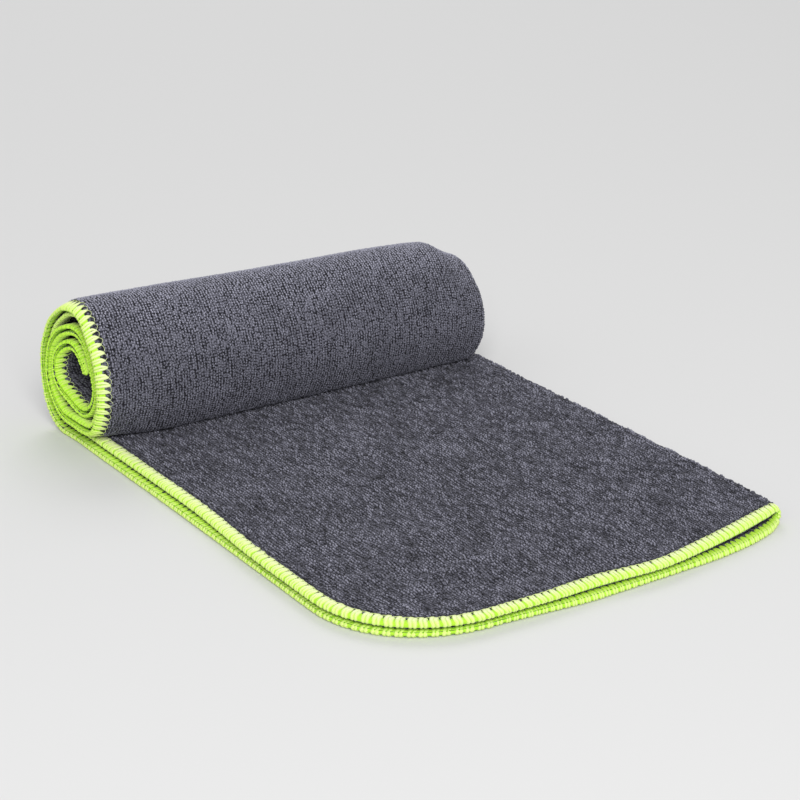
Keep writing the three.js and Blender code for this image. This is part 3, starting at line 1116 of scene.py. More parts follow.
@dataclass
class OverlockedEdging:
    """The overlock stitches round the cut edge.

    Each stitch is two plump legs of thread, which leave one needle hole, lie over the edge side by
    side and meet the same hole's place on the other face. Over the rim runs the purl, and along
    the needle holes the fine needle thread.
    """

    form: TowelForm
    edge: CutEdge
    thickness: float = 3.2
    bound_thickness: float = 2.7
    side_pitch: float = 3.55
    near_pitch: float = 3.15
    near_inset: Span = Span(30.0, 60.0)
    near_corner_share: float = 0.7
    near_fade: float = 8.0
    corner_pitch: float = 4.4
    corner_blur: int = 15
    roll_pitch: float = 3.0
    roll_fade: float = 20.0
    pitch_wander: float = 0.07
    sample_step: float = 1.0
    hole_inset: float = 5.3
    hole_wander: float = 0.35
    hole_wander_from: float = 4.0
    leg_sides: int = 8
    width_wander: float = 0.09
    lean_wander: float = 0.05
    flat_widening: float = 0.8
    widening: Span = Span(3.0, 4.6)
    # Painted shade on the rows of a leg that face the other ply.
    facing: Span = Span(0.9, 2.8)
    facing_tone: float = 0.62
    # Painted shade on the stitches of the roll's inner turns.
    inner_turns: Span = Span(250.0, 380.0)
    wound_tone: float = 0.78
    heart_inset: float = 2.0
    heart_depth: float = 1.6
    core_steps: int = 2
    # Painted shade in the valleys between the stitches.
    core_tone: float = 0.48
    wave_sides: int = 6
    wave_steps: int = 8
    wave_swing: Span = Span(0.7, 1.3)
    wave_heart_inset: float = 2.6
    needle_setback: float = 0.6
    needle_scallop: float = 1.0
    needle_depth: float = 0.2
    needle_lift: float = 0.3
    needle_radius: float = 0.12
    needle_tone: float = 1.1
    needle_flat_play: float = 0.1
    purl_inset: float = 1.0
    purl_sway: float = 0.12
    purl_depth: float = 1.4
    purl_swing: float = 0.5
    purl_lead: float = 0.25
    purl_radius: float = 0.3
    # Painted shade on the purl, sunk behind the rim.
    purl_tone: float = 0.5
    seed: int = 7
    holes: np.ndarray = field(init=False)
    pitches: np.ndarray = field(init=False)

    def __post_init__(self) -> None:
        """Places the needle holes round the edge."""
        form = self.form
        random = np.random.default_rng(self.seed)
        samples = np.arange(0, self.edge.length, self.sample_step)
        across, along = self.edge.places(samples, np.zeros(len(samples)))
        inset = form.inset(across)
        radius = form.corner_radius
        from_corner = radius * self.near_corner_share - along
        at_near = smooth_step(from_corner, 0, self.near_fade) * smooth_step(inset, *self.near_inset)
        at_corner = np.where((inset < radius) & (along < radius), 1.0, 0.0)
        blur = np.ones(self.corner_blur) / self.corner_blur
        at_corner = np.convolve(at_corner, blur, mode="same")
        on_roll = smooth_step(along, form.roll_along, form.roll_along + self.roll_fade)
        pitch = blend(np.full(len(samples), self.side_pitch), self.roll_pitch, on_roll)
        pitch = blend(pitch, self.near_pitch, at_near)
        pitch = blend(pitch, self.corner_pitch, at_corner)
        stitches = np.concatenate([[0.0], np.cumsum(self.sample_step / pitch)])
        total = round(stitches[-1])
        wanted = np.arange(total) + random.uniform(-1, 1, total) * self.pitch_wander
        ends = np.append(samples, samples[-1] + self.sample_step)
        self.holes = np.interp(np.mod(wanted, stitches[-1]), stitches, ends)
        self.holes = np.sort(self.holes)
        after = np.append(self.holes[1:], self.holes[0] + self.edge.length)
        self.pitches = after - self.holes

    def pressed_share(self, distance: np.ndarray) -> np.ndarray:
        """Gives the share of its thickness that the edging keeps at a distance round it."""
        _, along = self.edge.places(distance, np.zeros(len(distance)))
        return self.form.layer_share(self.form.turn_at(along))

    def parts(self, distance: np.ndarray) -> tuple[np.ndarray, np.ndarray]:
        """Gives which part of the towel each place round the edge belongs to.

        Args:
            distance: Distances round the edge.

        Returns:
            The share of the flat part, and the share of the inner turns.
        """
        _, along = self.edge.places(distance, np.zeros(len(distance)))
        roll_along = self.form.roll_along
        flat = 1 - smooth_step(along, roll_along, roll_along + self.roll_fade)
        return flat, smooth_step(self.form.turn_at(along), *self.inner_turns)

    def leg_section(self) -> np.ndarray:
        """Lays out a leg from its needle hole over the rim to the other face.

        Returns:
            The leg's steps, with the columns of a LegRow.
        """
        away = []
        for row in LEG[-2::-1]:
            # Painted shade: rows on the face that looks at the other ply get a deeper tone.
            hidden = float(smooth_step(row.inset, *self.facing))
            tone = row.tone * blend(1.0, self.facing_tone, hidden)
            away.append(row._replace(depth=self.bound_thickness - row.depth, tone=tone))
        return np.array([*LEG, *away])

    def legs(self, name: str, upper: bool) -> bpy.types.Object:
        """Builds the stitches' legs on one ply.

        Args:
            name: The piece's name.
            upper: Whether they bind the upper ply's half of the edge, or the lower one's.

        Returns:
            The piece.
        """
        random = np.random.default_rng(self.seed + 1 + upper)
        across, _ = self.edge.places(self.holes, np.zeros(len(self.holes)))
        mine = (across > self.form.width / 2) == upper
        holes = self.holes[mine]
        pitch = self.pitches[mine][:, None]
        count = len(holes)
        inset, depth, half_width, half_height, spread, bow, tone = self.leg_section().T
        pressed = self.pressed_share(holes)[:, None]
        flat, wound = self.parts(holes)
        widen = 1 + self.flat_widening * flat[:, None] * smooth_step(inset, *self.widening)
        # Painted shade: stitches on the roll's inner turns, in its hollow, get a deeper tone.
        tone = tone * blend(1.0, self.wound_tone, wound)[:, None]
        builder = MeshBuilder()
        thread = Thread(sides=self.leg_sides)
        for direction in (-1, 1):
            width = 1 + random.uniform(-1, 1, (count, 1)) * self.width_wander
            lean = random.uniform(-1, 1, (count, 1)) * self.lean_wander
            shift = direction * spread * widen + bow + lean * (bow > 0)
            distance = holes[:, None] + shift * pitch
            wander = random.uniform(-1, 1, (count, 1)) * self.hole_wander
            here = inset + wander * (inset > self.hole_wander_from)
            path = self.edge.point(distance, here, depth, self.thickness)
            heart_inset = np.maximum(here, self.heart_inset)
            heart = self.edge.point(distance, heart_inset, self.heart_depth, self.thickness)
            thread.sweep(
                builder,
                path,
                heart,
                half_width * widen * width * pitch,
                half_height * width * pressed,
                tone,
            )
        return place_piece(name, builder.mesh(name))

    def core(self) -> bpy.types.Object:
        """Builds the dense thread that shows in the valleys between the stitches.

        Returns:
            The piece.
        """
        inset, depth = np.array(CORE).T
        count = self.core_steps * len(self.holes)
        distance = np.linspace(0, self.edge.length, count, endpoint=False)[:, None]
        points = self.edge.point(distance, inset, depth, self.thickness)
        points[..., 2] = np.maximum(points[..., 2], 0)
        shape = points.shape[:-1]
        run = np.broadcast_to(distance, shape)
        over = np.broadcast_to(np.arange(len(CORE)), shape)
        builder = MeshBuilder()
        # Painted shade: the thread in the valleys between the stitches gets a deep tone.
        tone = np.full(shape, self.core_tone)
        grid = builder.add_points(points, np.stack([over, run], -1), tone)
        around = np.concatenate([grid, grid[:, :1]], 1)
        around = np.concatenate([around, around[:1]], 0)
        builder.add_quads(around)
        return place_piece("edging_core", builder.mesh("edging_core"))

    def run_round(self, wave: EdgeThread) -> bpy.types.Object:
        """Builds a thread that runs right round the edge.

        Args:
            wave: The thread, with its wave.

        Returns:
            The piece.
        """
        random = np.random.default_rng(self.seed + 9)
        share = np.arange(self.wave_steps) / self.wave_steps + wave.lead
        distance = self.holes[:, None] + share * self.pitches[:, None]
        swing = random.uniform(*self.wave_swing, (len(self.holes), 1)) * wave.play[:, None]
        start = wave.inset[0]
        inset = start + (wave.inset - start) * swing
        path = self.edge.point(distance, inset, wave.depth, self.thickness)
        heart = self.edge.point(
            distance, self.wave_heart_inset, self.heart_depth, self.thickness
        )
        pressed = np.repeat(self.pressed_share(self.holes), self.wave_steps)[None]
        radius = wave.radius * pressed
        builder = MeshBuilder()
        Thread(sides=self.wave_sides, closed=True).sweep(
            builder,
            path.reshape(1, -1, 3),
            heart.reshape(1, -1, 3),
            radius,
            radius,
            np.full(radius.shape, wave.tone),
        )
        return place_piece(wave.name, builder.mesh(wave.name))

    def needle_thread(self) -> bpy.types.Object:
        """Builds the fine scalloped thread along the needle holes.

        Returns:
            The piece.
        """
        arc = np.sin(math.pi * np.arange(self.wave_steps) / self.wave_steps)
        flat, _ = self.parts(self.holes)
        wave = EdgeThread(
            name="edging_needle_thread",
            inset=self.hole_inset - self.needle_setback + self.needle_scallop * arc,
            depth=self.needle_depth - self.needle_lift * arc,
            lead=0.0,
            radius=self.needle_radius,
            tone=self.needle_tone,
            play=blend(1.0, self.needle_flat_play, flat),
        )
        return self.run_round(wave)

    def purl(self) -> bpy.types.Object:
        """Builds the thread that ties the stitches' legs together, sunk behind the rim.

        Returns:
            The piece.
        """
        angle = 2 * math.pi * np.arange(self.wave_steps) / self.wave_steps
        wave = EdgeThread(
            name="edging_purl",
            inset=self.purl_inset - self.purl_sway * np.cos(2 * angle),
            depth=self.purl_depth + self.purl_swing * np.sin(angle),
            lead=self.purl_lead,
            radius=self.purl_radius,
            # Painted shade: the sunk purl gets a deep tone.
            tone=self.purl_tone,
            play=np.ones(len(self.holes)),
        )
        return self.run_round(wave)

    def build(self) -> list[bpy.types.Object]:
        """Builds every thread of the edging.

        Returns:
            The pieces.
        """
        return [
            self.core(),
            self.legs("edging_lower_stitches", upper=False),
            self.legs("edging_upper_stitches", upper=True),
            self.purl(),
            self.needle_thread(),
        ]


@dataclass(frozen=True)
class PileLook:
    """How the loops on one kind of skin stand, in mm, and the name and brightness they get.

    The brightness paints light on this copy of the pile, and the root tone paints shade at the
    loops' roots.
    """

    finish: str
    brightness: float
    pitch_along: float
    height: float
    unevenness: float
    root_tone: float


class Skin(Enum):
    """The kinds of skin that show their pile: brushed one way when flat, the other way wound.

    Each kind gets its own copy of one pile finish: the wound copy is painted lighter, and the flat
    copy gets deeper painted shade at the loops' roots.
    """

    # The wound copy is painted lighter than the flat one, and the flat copy's roots get deeper
    # painted shade.
    FLAT = PileLook(
        finish="terry_pile_flat",
        brightness=1.5,
        pitch_along=1.6,
        height=0.68,
        unevenness=1.15,
        root_tone=0.13913,
    )
    ROLL = PileLook(
        finish="terry_pile_roll",
        brightness=1.65,
        pitch_along=1.24,
        height=0.4896,
        unevenness=0.34,
        root_tone=0.47059,
    )


class PilePatch(NamedTuple):
    """A patch of pile, and where it lies across and along the sheet."""

    name: str
    skin: Skin
    across: Span
    along: Span


@dataclass
class LoopPile:
    """The short loops of thread that stand out of the towel's visible skins."""

    form: TowelForm
    cloth: TerryCloth
    pitch_across: float = 1.36
    jitter: float = 0.2
    column_shift: float = 0.5
    edge_gap: float = 5.9
    fold_reach: float = 12.0
    nip_gap: float = 14.0
    shown_turns: Span = Span(18.0, 348.0)
    half_across: float = 0.57
    fill_along: float = 0.66
    size_range: Span = Span(0.8, 1.15)
    sides: int = 3
    height_wander: float = 0.25
    height_range: Span = Span(0.25, 1.7)
    streak_rows: int = 2
    streak_spill: float = 0.25
    streak_range: Span = Span(-2.2, 1.2)
    # How much the tone follows the streak: painted shade on its shorter loops.
    streak_height: float = 0.3
    streak_tone: float = 0.19
    nap_length: float = 42.0
    nap_lean_across: float = 0.3
    nap_lean_along: float = 0.5
    nap_tone: float = 0.03
    lean: float = 0.2
    lean_wander: float = 0.8
    plain_tone: float = 0.76
    speckle: float = 0.2
    # Painted sheen: a lighter band of loops over the roll's top, where light grazes the pile.
    brushed_turn: float = 178.0
    brushed_reach: float = 48.0
    brushed_tone: float = 0.4
    seed: int = 83
    seed_step: int = 10

    def places(
        self, across: Span, along: Span, pitch: float, seed: int
    ) -> tuple[np.ndarray, np.ndarray, np.ndarray]:
        """Lays out the loops in columns and rows, each a little off its place.

        Args:
            across: Where the columns start and end.
            along: Where the rows start and end.
            pitch: Distance from row to row.
            seed: Seed of the unevenness.

        Returns:
            Each loop's place across and along the sheet, and how far it stands out in a streak
            of its column, spread about 0.
        """
        random = np.random.default_rng(seed)
        columns = np.arange(across.start, across.end, self.pitch_across)
        rows = np.arange(along.start, along.end, pitch)
        shift = self.column_shift
        a, b = np.meshgrid(columns, rows)
        a = a + random.uniform(-self.jitter, self.jitter, a.shape) * self.pitch_across
        b = b + random.uniform(-self.jitter, self.jitter, b.shape) * pitch
        b = b + random.uniform(-shift, shift, len(columns)) * pitch
        streak = random.normal(size=a.shape)
        for _ in range(self.streak_rows):
            streak = streak + np.roll(streak, 1, 0)
        streak = streak + self.streak_spill * np.roll(streak, 1, 1)
        streak = streak / streak.std()
        clear = self.cloth.rim_distance(a, b) > self.edge_gap
        return a[clear], b[clear], streak[clear]

    def patch(self, patch: PilePatch, seed: int) -> bpy.types.Object:
        """Builds the loops of one patch of skin.

        Args:
            patch: The patch.
            seed: Seed of the unevenness.

        Returns:
            The piece.
        """
        form = self.form
        look = patch.skin.value
        a, b, streak = self.places(patch.across, patch.along, look.pitch_along, seed)
        random = np.random.default_rng(seed + 1)
        count = len(a)
        streak = np.clip(streak, *self.streak_range)
        nap = SoftNoise(seed + 3, self.nap_length).at(a, b)
        tall = 1 + random.uniform(-1, 1, count) * self.height_wander
        tall = tall + self.streak_height * look.unevenness * streak
        tall = look.height * np.clip(tall, *self.height_range)
        turn = random.uniform(0, 2 * math.pi, count)
        lean_a = random.normal(size=count) * self.lean_wander + self.nap_lean_across * nap
        lean_b = random.normal(size=count) * self.lean_wander + self.nap_lean_along * nap
        size = random.uniform(*self.size_range, count)
        angle = turn[:, None] + 2 * math.pi * np.arange(self.sides) / self.sides
        ring_a = np.cos(angle) * self.half_across * size[:, None]
        ring_b = np.sin(angle) * self.fill_along * look.pitch_along * size[:, None]
        rings = np.repeat(np.array(LOOP_RINGS), self.sides, 0)
        height = np.append(rings[:, 0], 1.0)
        width = np.append(rings[:, 1], 0.0)
        share = np.append(rings[:, 2], 1.0)
        around = [*range(self.sides)] * len(LOOP_RINGS) + [0]
        leaning = self.lean * np.maximum(height, 0)
        all_a = a[:, None] + ring_a[:, around] * width + lean_a[:, None] * leaning
        all_b = b[:, None] + ring_b[:, around] * width + lean_b[:, None] * leaning
        outline = np.asarray(self.cloth.rim)
        points = form.point(all_a, all_b, -tall[:, None] * height, self.cloth.thickness, outline)
        points[..., 2] = np.maximum(points[..., 2], 0)
        place_a, place_b = form.cloth_place(all_a, all_b, self.cloth.rim)
        # Painted shade: loops that stand shorter in a streak are darker.
        uneven = self.streak_tone * streak + self.nap_tone * nap
        uneven = uneven + random.uniform(-self.speckle, self.speckle, count)
        # Painted sheen: loops near the roll's top turn are lighter.
        from_top = (form.turn_at(b) - self.brushed_turn) / self.brushed_reach
        bright = self.plain_tone + look.unevenness * uneven
        bright = bright + self.brushed_tone * np.exp(-from_top * from_top)
        # Painted shade: each loop's tone falls from its tip to its root's tone.
        tone = np.clip(bright[:, None] * blend(look.root_tone, 1.0, share), 0, 1)
        builder = MeshBuilder()
        grid = builder.add_points(points, np.stack([place_a, place_b], -1), tone)
        base = grid[:, : self.sides]
        mid = grid[:, self.sides : 2 * self.sides]
        tip = grid[:, -1]
        for side in range(self.sides):
            after = (side + 1) % self.sides
            wall = [base[:, side], base[:, after], mid[:, after], mid[:, side]]
            builder.faces.append(np.stack(wall, -1))
            builder.faces.append(np.stack([mid[:, side], mid[:, after], tip], -1))
        builder.faces.append(base[:, ::-1])
        return place_piece(patch.name, builder.mesh(patch.name))

    def patches(self) -> list[PilePatch]:
        """Lays out the patches of the flat part's upper skin and of the roll's outer turn.

        Returns:
            The patches.
        """
        form = self.form
        middle = form.width / 2
        upper = Span(middle - self.fold_reach, form.width - self.edge_gap)
        lower = Span(self.edge_gap, middle + self.fold_reach)
        flat_end = form.roll_along - self.nip_gap
        flat_middle = flat_end / 2
        turn_start = form.along_at(self.shown_turns.start)
        turn_end = form.along_at(self.shown_turns.end)
        turn_middle = (turn_start + turn_end) / 2
        return [
            PilePatch("pile_flat_near", Skin.FLAT, upper, Span(self.edge_gap, flat_middle)),
            PilePatch("pile_flat_far", Skin.FLAT, upper, Span(flat_middle, flat_end)),
            PilePatch("pile_roll_back", Skin.ROLL, lower, Span(turn_start, turn_middle)),
            PilePatch("pile_roll_front", Skin.ROLL, lower, Span(turn_middle, turn_end)),
        ]

    def build(self, skin: Skin) -> list[bpy.types.Object]:
        """Builds the pile of one kind of skin.

        Args:
            skin: The kind of skin.

        Returns:
            The pieces.
        """
        return [
            self.patch(patch, self.seed + self.seed_step * number)
            for number, patch in enumerate(self.patches())
            if patch.skin is skin
        ]


def place_piece(name: str, mesh: bpy.types.Mesh) -> bpy.types.Object:
    """Puts a mesh of the towel's own frame into the row's frame.

    Args:
        name: The object's name.
        mesh: The mesh, in metres, from the towel's near open corner.

    Returns:
        The object, with its faces turned outwards.
    """
    mesh.transform(Matrix.Translation((-ORIGIN_ACROSS * MM, -ORIGIN_ALONG * MM, 0)))
    shell = bmesh.new()
    shell.from_mesh(mesh)
    bmesh.ops.recalc_face_normals(shell, faces=shell.faces)
    shell.to_mesh(mesh)
    shell.free()
    piece = bpy.data.objects.new(name, mesh)
    bpy.context.scene.collection.objects.link(piece)
    return piece


@dataclass
class Shading:
    """A material's node tree, with short ways to add to it."""

    name: str
    material: bpy.types.Material = field(init=False)
    surface: bpy.types.ShaderNode = field(init=False)

    def __post_init__(self) -> None:
        """Starts the material with its surface shader alone."""
        self.material = bpy.data.materials.new(self.name)
        self.material.use_nodes = True
        self.surface = self.material.node_tree.nodes["Principled BSDF"]

    def add(self, kind: str, **settings: object) -> bpy.types.ShaderNode:
        """Adds a node.

        Args:
            kind: The node's type name.
            settings: Its own settings, by name.

        Returns:
            The node.
        """
        node = self.material.node_tree.nodes.new(kind)
        for key, value in settings.items():
            setattr(node, key, value)
        return node

    def feed(self, socket: bpy.types.NodeSocket, value: object) -> None:
        """Links another node's socket into one, or sets its number or colour.

        Args:
            socket: The socket that takes the value.
            value: The other socket, the number or the colour.
        """
        if isinstance(value, bpy.types.NodeSocket):
            self.material.node_tree.links.new(value, socket)
        else:
            socket.default_value = value

    def place(self) -> bpy.types.NodeSocket:
        """Reads where a point lies on the flat cloth or along its thread."""
        return self.add("ShaderNodeUVMap", uv_map="cloth_place").outputs["UV"]

    def tone(self) -> bpy.types.NodeSocket:
        """Reads a point's tone."""
        return self.add("ShaderNodeAttribute", attribute_name="tone").outputs["Fac"]

    def math(self, operation: str, *values: object) -> bpy.types.NodeSocket:
        """Adds a Math node.

        Args:
            operation: What it does.
            values: The values that it takes.

        Returns:
            Its result.
        """
        node = self.add("ShaderNodeMath", operation=operation)
        for socket, value in zip(node.inputs, values):
            self.feed(socket, value)
        return node.outputs["Value"]

    def vector(self, operation: str, *values: object) -> bpy.types.NodeSocket:
        """Adds a Vector Math node.

        Args:
            operation: What it does.
            values: The vectors that it takes.

        Returns:
            Its result.
        """
        node = self.add("ShaderNodeVectorMath", operation=operation)
        for socket, value in zip(node.inputs, values):
            self.feed(socket, value)
        return node.outputs["Vector"]

    def scaled(self, vector: object, factor: object) -> bpy.types.NodeSocket:
        """Multiplies a vector by one number.

        Args:
            vector: The vector.
            factor: The number.

        Returns:
            The longer or shorter vector.
        """
        node = self.add("ShaderNodeVectorMath", operation="SCALE")
        self.feed(node.inputs["Vector"], vector)
        self.feed(node.inputs["Scale"], factor)
        return node.outputs["Vector"]

    def noise(self, vector: object, scale: float, detail: float) -> bpy.types.ShaderNode:
        """Adds a noise over a vector.

        Args:
            vector: Where the noise is read.
            scale: How many of its lumps lie in one unit.
            detail: How many finer layers it has.

        Returns:
            The noise node.
        """
        node = self.add("ShaderNodeTexNoise", noise_dimensions="2D")
        self.feed(node.inputs["Vector"], vector)
        node.inputs["Scale"].default_value = scale
        node.inputs["Detail"].default_value = detail
        return node

    def cells(self, vector: object, randomness: float) -> bpy.types.NodeSocket:
        """Adds a pattern of cells one unit apart.

        Args:
            vector: Where the pattern is read.
            randomness: How unevenly the cells are placed.

        Returns:
            The distance from the middle of the nearest cell.
        """
        node = self.add("ShaderNodeTexVoronoi", voronoi_dimensions="2D", feature="F1")
        self.feed(node.inputs["Vector"], vector)
        node.inputs["Scale"].default_value = 1.0
        node.inputs["Randomness"].default_value = randomness
        return node.outputs["Distance"]

    def map_range(
        self, value: object, source: tuple[float, float], target: tuple[float, float]
    ) -> bpy.types.NodeSocket:
        """Moves a value from one range to another, held inside it.

        Args:
            value: The value.
            source: The range that it comes from.
            target: The range that it goes to.

        Returns:
            The new value.
        """
        node = self.add("ShaderNodeMapRange")
        limits = (*source, *target)
        self.feed(node.inputs["Value"], value)
        for name, limit in zip(("From Min", "From Max", "To Min", "To Max"), limits):
            node.inputs[name].default_value = limit
        return node.outputs["Result"]

    def ramp(self, value: object, stops: tuple) -> bpy.types.NodeSocket:
        """Turns a value into a colour.

        Args:
            value: The value, from 0 to 1.
            stops: Pairs of a place and a colour.

        Returns:
            The colour.
        """
        node = self.add("ShaderNodeValToRGB")
        self.feed(node.inputs["Fac"], value)
        elements = node.color_ramp.elements
        for element, (place, colour) in zip(elements, (stops[0], stops[-1])):
            element.position = place
            element.color = (*colour, 1.0)
        for place, colour in stops[1:-1]:
            elements.new(place).color = (*colour, 1.0)
        return node.outputs["Color"]

    def pushed(
        self, vector: object, place: object, scale: float, detail: float, reach: float
    ) -> bpy.types.NodeSocket:
        """Pushes a vector a little to all sides, by a noise.

        Args:
            vector: The vector.
            place: Where the noise is read.
            scale: How many of its lumps lie in one unit.
            detail: How many finer layers it has.
            reach: How far the push reaches, in mm.

        Returns:
            The pushed vector.
        """
        push = self.noise(place, scale, detail).outputs["Color"]
        push = self.vector("SUBTRACT", push, (0.5, 0.5, 0.5))
        return self.vector("ADD", vector, self.scaled(push, 2 * reach * MM))

    def with_fibres(self, value: object, fibres: object, spread: float) -> bpy.types.NodeSocket:
        """Roughens a value by a noise of fibres.

        Args:
            value: The value.
            fibres: The noise, from 0 to 1.
            spread: How far apart the noise drives the highest and the lowest.

        Returns:
            The value, with the noise spread evenly about it.
        """
        raised = self.math("MULTIPLY_ADD", fibres, spread, value)
        return self.math("SUBTRACT", raised, spread / 2)

    def patchy(
        self, place: object, scale: float, detail: float, spread: float, level: float = 1.0
    ) -> bpy.types.NodeSocket:
        """Adds a factor that is a little higher in some patches and lower in others.

        Args:
            place: Where the patches are read.
            scale: How many of them lie in one unit.
            detail: How many finer layers they have.
            spread: How far the factor strays from its level, as a share.
            level: The factor's level.

        Returns:
            The factor.
        """
        noise = self.noise(place, scale, detail).outputs["Fac"]
        reach = (level * (1 - spread), level * (1 + spread))
        return self.map_range(noise, (NOISE_LOW, NOISE_HIGH), reach)

    def bump(self, height: object, relief: float, strength: float) -> None:
        """Raises the surface.

        Args:
            height: The height.
            relief: How many mm a height of 1 stands for.
            strength: The share of it that shows.
        """
        node = self.add("ShaderNodeBump")
        node.inputs["Distance"].default_value = relief * MM
        node.inputs["Strength"].default_value = strength
        self.feed(node.inputs["Height"], height)
        self.feed(self.surface.inputs["Normal"], node.outputs["Normal"])

    def finish(self, **values: float) -> bpy.types.Material:
        """Sets the surface's own numbers, by name with underscores for spaces.

        Args:
            values: The numbers.

        Returns:
            The material.
        """
        for key, value in values.items():
            self.surface.inputs[key.replace("_", " ")].default_value = value
        return self.material


@dataclass(frozen=True)
class TerryFinish:
    """The ground of the terry: dark grey loops in columns, with painted shade making the pits
    between them darker.
    """

    name: str = "terry_cloth"
    loop_across: float = 1.45
    loop_along: float = 1.25
    loop_randomness: float = 0.62
    loop_reach: Span = Span(0.1, 0.68)
    warp: float = 0.5
    warp_scale: float = 260.0
    drift: float = 3.0
    drift_scale: float = 24.0
    streak_across: float = 1.9
    streak_along: float = 5.2
    streak_reach: Span = Span(0.32, 0.66)
    streak_height: Span = Span(-0.34, 0.24)
    fibre_scale: float = 1500.0
    fibre_spread: float = 0.5
    nap_scale: float = 46.0
    nap_spread: float = 0.12
    patch_scale: float = 190.0
    patch_spread: float = 0.1
    relief: float = 0.5
    # The colour rises with the height: painted shade darkens the pits between the loops.
    stops: tuple = (
        (0.12, (0.018, 0.018, 0.023)),
        (0.34, (0.045, 0.045, 0.057)),
        (0.58, (0.090, 0.090, 0.112)),
        (0.92, (0.160, 0.160, 0.198)),
    )

    def build(self) -> bpy.types.Material:
        """Builds the material.

        Returns:
            The material of the terry.
        """
        shading = Shading(self.name)
        place = shading.place()
        warped = shading.pushed(place, place, self.warp_scale, detail=2.0, reach=self.warp)
        warped = shading.pushed(warped, place, self.drift_scale, detail=1.0, reach=self.drift)
        loop_size = (1 / (self.loop_across * MM), 1 / (self.loop_along * MM), 1.0)
        loops = shading.vector("MULTIPLY", warped, loop_size)
        loop = shading.cells(loops, self.loop_randomness)
        loop = shading.map_range(loop, self.loop_reach, (1.0, 0.0))
        streak_size = (1 / (self.streak_across * MM), 1 / (self.streak_along * MM), 1.0)
        streaks = shading.vector("MULTIPLY", warped, streak_size)
        streak = shading.noise(streaks, scale=1.0, detail=2.0).outputs["Fac"]
        streak = shading.map_range(streak, self.streak_reach, self.streak_height)
        fibres = shading.noise(place, self.fibre_scale, detail=2.0).outputs["Fac"]
        height = shading.math("ADD", loop, streak)
        height = shading.with_fibres(height, fibres, self.fibre_spread)
        # Painted shade: the pits take the ramp's darkest colours.
        colour = shading.ramp(height, self.stops)
        nap = shading.patchy(place, self.nap_scale, detail=3.0, spread=self.nap_spread)
        patch = shading.patchy(place, self.patch_scale, detail=2.0, spread=self.patch_spread)
        light = shading.math("MULTIPLY", nap, patch)
        shading.feed(shading.surface.inputs["Base Color"], shading.scaled(colour, light))
        shading.bump(height, self.relief, strength=1.0)
        return shading.finish(
            Roughness=0.95, Specular_IOR_Level=0.05, Sheen_Weight=0.04, Sheen_Roughness=0.5
        )


@dataclass(frozen=True)
class PileFinish:
    """The loops of the terry: near black at their roots, where shade is painted, and blue grey at
    their tips.
    """

    name: str
    # Painted light: how light this copy of the pile is.
    brightness: float
    fibre_scale: float = 1900.0
    fibre_spread: float = 0.4
    nap_scale: float = 46.0
    nap_spread: float = 0.07
    relief: float = 0.3
    # Low tones are the painted shade at the loops' roots; high tones take the painted sheen.
    stops: tuple = (
        (0.05, (0.006, 0.006, 0.008)),
        (0.4, (0.056, 0.056, 0.071)),
        (0.75, (0.130, 0.130, 0.161)),
        (1.0, (0.220, 0.220, 0.268)),
    )

    def build(self) -> bpy.types.Material:
        """Builds the material.

        Returns:
            The material of the loops.
        """
        shading = Shading(self.name)
        place = shading.place()
        fibres = shading.noise(place, self.fibre_scale, detail=2.0).outputs["Fac"]
        tone = shading.with_fibres(shading.tone(), fibres, self.fibre_spread)
        colour = shading.ramp(tone, self.stops)
        # The level is this copy's brightness, which paints light: the wound pile is set lighter
        # than the flat.
        nap = shading.patchy(
            place, self.nap_scale, detail=3.0, spread=self.nap_spread, level=self.brightness
        )
        shading.feed(shading.surface.inputs["Base Color"], shading.scaled(colour, nap))
        shading.bump(fibres, self.relief, strength=0.8)
        return shading.finish(
            Roughness=0.95, Specular_IOR_Level=0.08, Sheen_Weight=0.1, Sheen_Roughness=0.4
        )


@dataclass(frozen=True)
class ThreadFinish:
    """Fluffy lime overlock thread, with painted shade making it deep green in its hollows and
    painted light making it pale on its crests.
    """

    name: str = "edging_thread"
    strand_scale: tuple[float, float, float] = (2600.0, 520.0, 1.0)
    fibre_spread: float = 0.36
    relief: float = 0.22
    # Painted light and shade: tone 0 is a shaded hollow's deep green, tone 1 a lit crest's pale
    # lime.
    stops: tuple = (
        (0.0, (0.030, 0.270, 0.003)),
        (0.3, (0.230, 0.660, 0.008)),
        (0.55, (0.510, 0.830, 0.055)),
        (0.8, (0.700, 0.840, 0.270)),
        (1.0, (0.820, 0.870, 0.560)),
    )

    def build(self) -> bpy.types.Material:
        """Builds the material.

        Returns:
            The material of the edging's threads.
        """
        shading = Shading(self.name)
        strands = shading.vector("MULTIPLY", shading.place(), self.strand_scale)
        fibres = shading.noise(strands, scale=1.0, detail=3.0).outputs["Fac"]
        tone = shading.with_fibres(shading.tone(), fibres, self.fibre_spread)
        shading.feed(shading.surface.inputs["Base Color"], shading.ramp(tone, self.stops))
        shading.bump(fibres, self.relief, strength=0.9)
        return shading.finish(
            Roughness=0.8, Specular_IOR_Level=0.15, Sheen_Weight=0.08, Sheen_Roughness=0.4
        )


@dataclass(frozen=True)
class FloorFinish:
    """A smooth matt pale grey surface."""

    name: str = "studio_floor"
    colour: tuple = (0.67, 0.67, 0.67)

    def build(self) -> bpy.types.Material:
        """Builds the material.

        Returns:
            The material of the floor.
        """
        shading = Shading(self.name)
        shading.surface.inputs["Base Color"].default_value = (*self.colour, 1.0)
        return shading.finish(Roughness=0.9, Specular_IOR_Level=0.1)


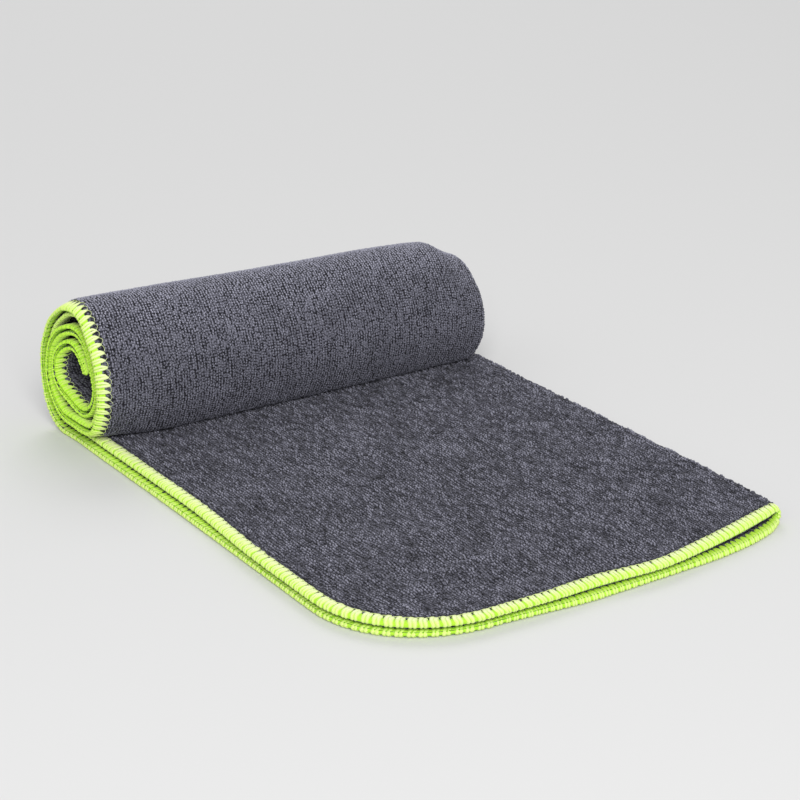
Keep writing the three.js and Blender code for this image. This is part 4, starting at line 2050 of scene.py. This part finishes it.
@dataclass(frozen=True)
class Softbox:
    """A square soft light, aimed at the towel."""

    name: str
    place: tuple[float, float, float]
    size: float
    power: float
    aim: tuple[float, float, float] = (0.0, 0.0, 0.0)

    def build(self) -> None:
        """Hangs the light."""
        data = bpy.data.lights.new(self.name, "AREA")
        data.shape = "SQUARE"
        data.size = self.size
        data.energy = self.power
        light = bpy.data.objects.new(self.name, data)
        light.location = self.place
        way = Vector(self.aim) - Vector(self.place)
        light.rotation_euler = way.to_track_quat("-Z", "Y").to_euler()
        bpy.context.scene.collection.objects.link(light)


@dataclass
class Studio:
    """The pale floor, the soft light and the camera."""

    floor_reach: float = 7.0
    floor_drop: float = 0.0001
    camera_place: tuple[float, float, float] = (-0.4586, -0.6957, 0.3592)
    camera_turn: tuple[float, float, float] = (68.69, 0.0, -33.33)
    lens: float = 96.75
    sensor: float = 36.0
    nearest: float = 0.01
    sky: float = 0.52
    softboxes: tuple[Softbox, ...] = (
        Softbox("key_softbox", place=(-0.95, -1.75, 1.4), size=1.2, power=50.0),
        Softbox("top_softbox", place=(0.8, 1.6, 1.9), size=1.4, power=18.0),
    )

    def build(self) -> None:
        """Sets up the floor, the lights and the camera."""
        scene = bpy.context.scene
        scene.view_settings.view_transform = "Standard"
        self.build_floor()
        self.build_sky()
        for softbox in self.softboxes:
            softbox.build()
        data = bpy.data.cameras.new("camera")
        data.lens = self.lens
        data.sensor_width = self.sensor
        data.clip_start = self.nearest
        camera = bpy.data.objects.new("camera", data)
        camera.location = self.camera_place
        camera.rotation_euler = [math.radians(angle) for angle in self.camera_turn]
        scene.collection.objects.link(camera)
        scene.camera = camera

    def build_floor(self) -> None:
        """Lays the floor just below the towel."""
        reach = self.floor_reach
        corners = [(-reach, -reach, 0), (reach, -reach, 0), (reach, reach, 0), (-reach, reach, 0)]
        data = bpy.data.meshes.new("studio_floor")
        data.from_pydata(corners, [], [(0, 1, 2, 3)])
        data.materials.append(FloorFinish().build())
        floor = bpy.data.objects.new("studio_floor", data)
        floor.location.z = -self.floor_drop
        bpy.context.scene.collection.objects.link(floor)

    def build_sky(self) -> None:
        """Fills the room with even white light."""
        world = bpy.data.worlds.new("studio_light")
        world.use_nodes = True
        background = world.node_tree.nodes["Background"]
        background.inputs["Color"].default_value = (1.0, 1.0, 1.0, 1.0)
        background.inputs["Strength"].default_value = self.sky
        bpy.context.scene.world = world


@dataclass
class RolledTowel:
    """The whole towel: its cloth and its edging, dressed and joined to the frame."""

    form: TowelForm = field(default_factory=TowelForm)

    def dress(self, piece: bpy.types.Object, material: bpy.types.Material) -> None:
        """Gives a piece its finish and joins it to the frame.

        Args:
            piece: The piece.
            material: The finish.
        """
        piece.data.materials.append(material)
        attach(piece, "root")
        LOG.info("%s: %d faces", piece.name, len(piece.data.polygons))

    def build(self) -> None:
        """Builds every piece of the towel, and hides the imported cloth and edging."""
        terry = TerryCloth(self.form)
        cloth = terry.build()
        self.dress(cloth, TerryFinish().build())
        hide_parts("towel_cloth")
        pile = LoopPile(self.form, terry)
        for skin in Skin:
            material = PileFinish(skin.value.finish, skin.value.brightness).build()
            for piece in pile.build(skin):
                self.dress(piece, material)
                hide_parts("towel_cloth")
        threads = OverlockedEdging(self.form, CutEdge(self.form)).build()
        material = ThreadFinish().build()
        for piece in threads:
            self.dress(piece, material)
            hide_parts("overlocked_edging")


def main() -> None:
    """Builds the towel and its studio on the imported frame."""
    logging.basicConfig(level=logging.INFO, format="%(name)s: %(message)s")
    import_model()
    RolledTowel().build()
    Studio().build()


if __name__ == "__main__":
    main()
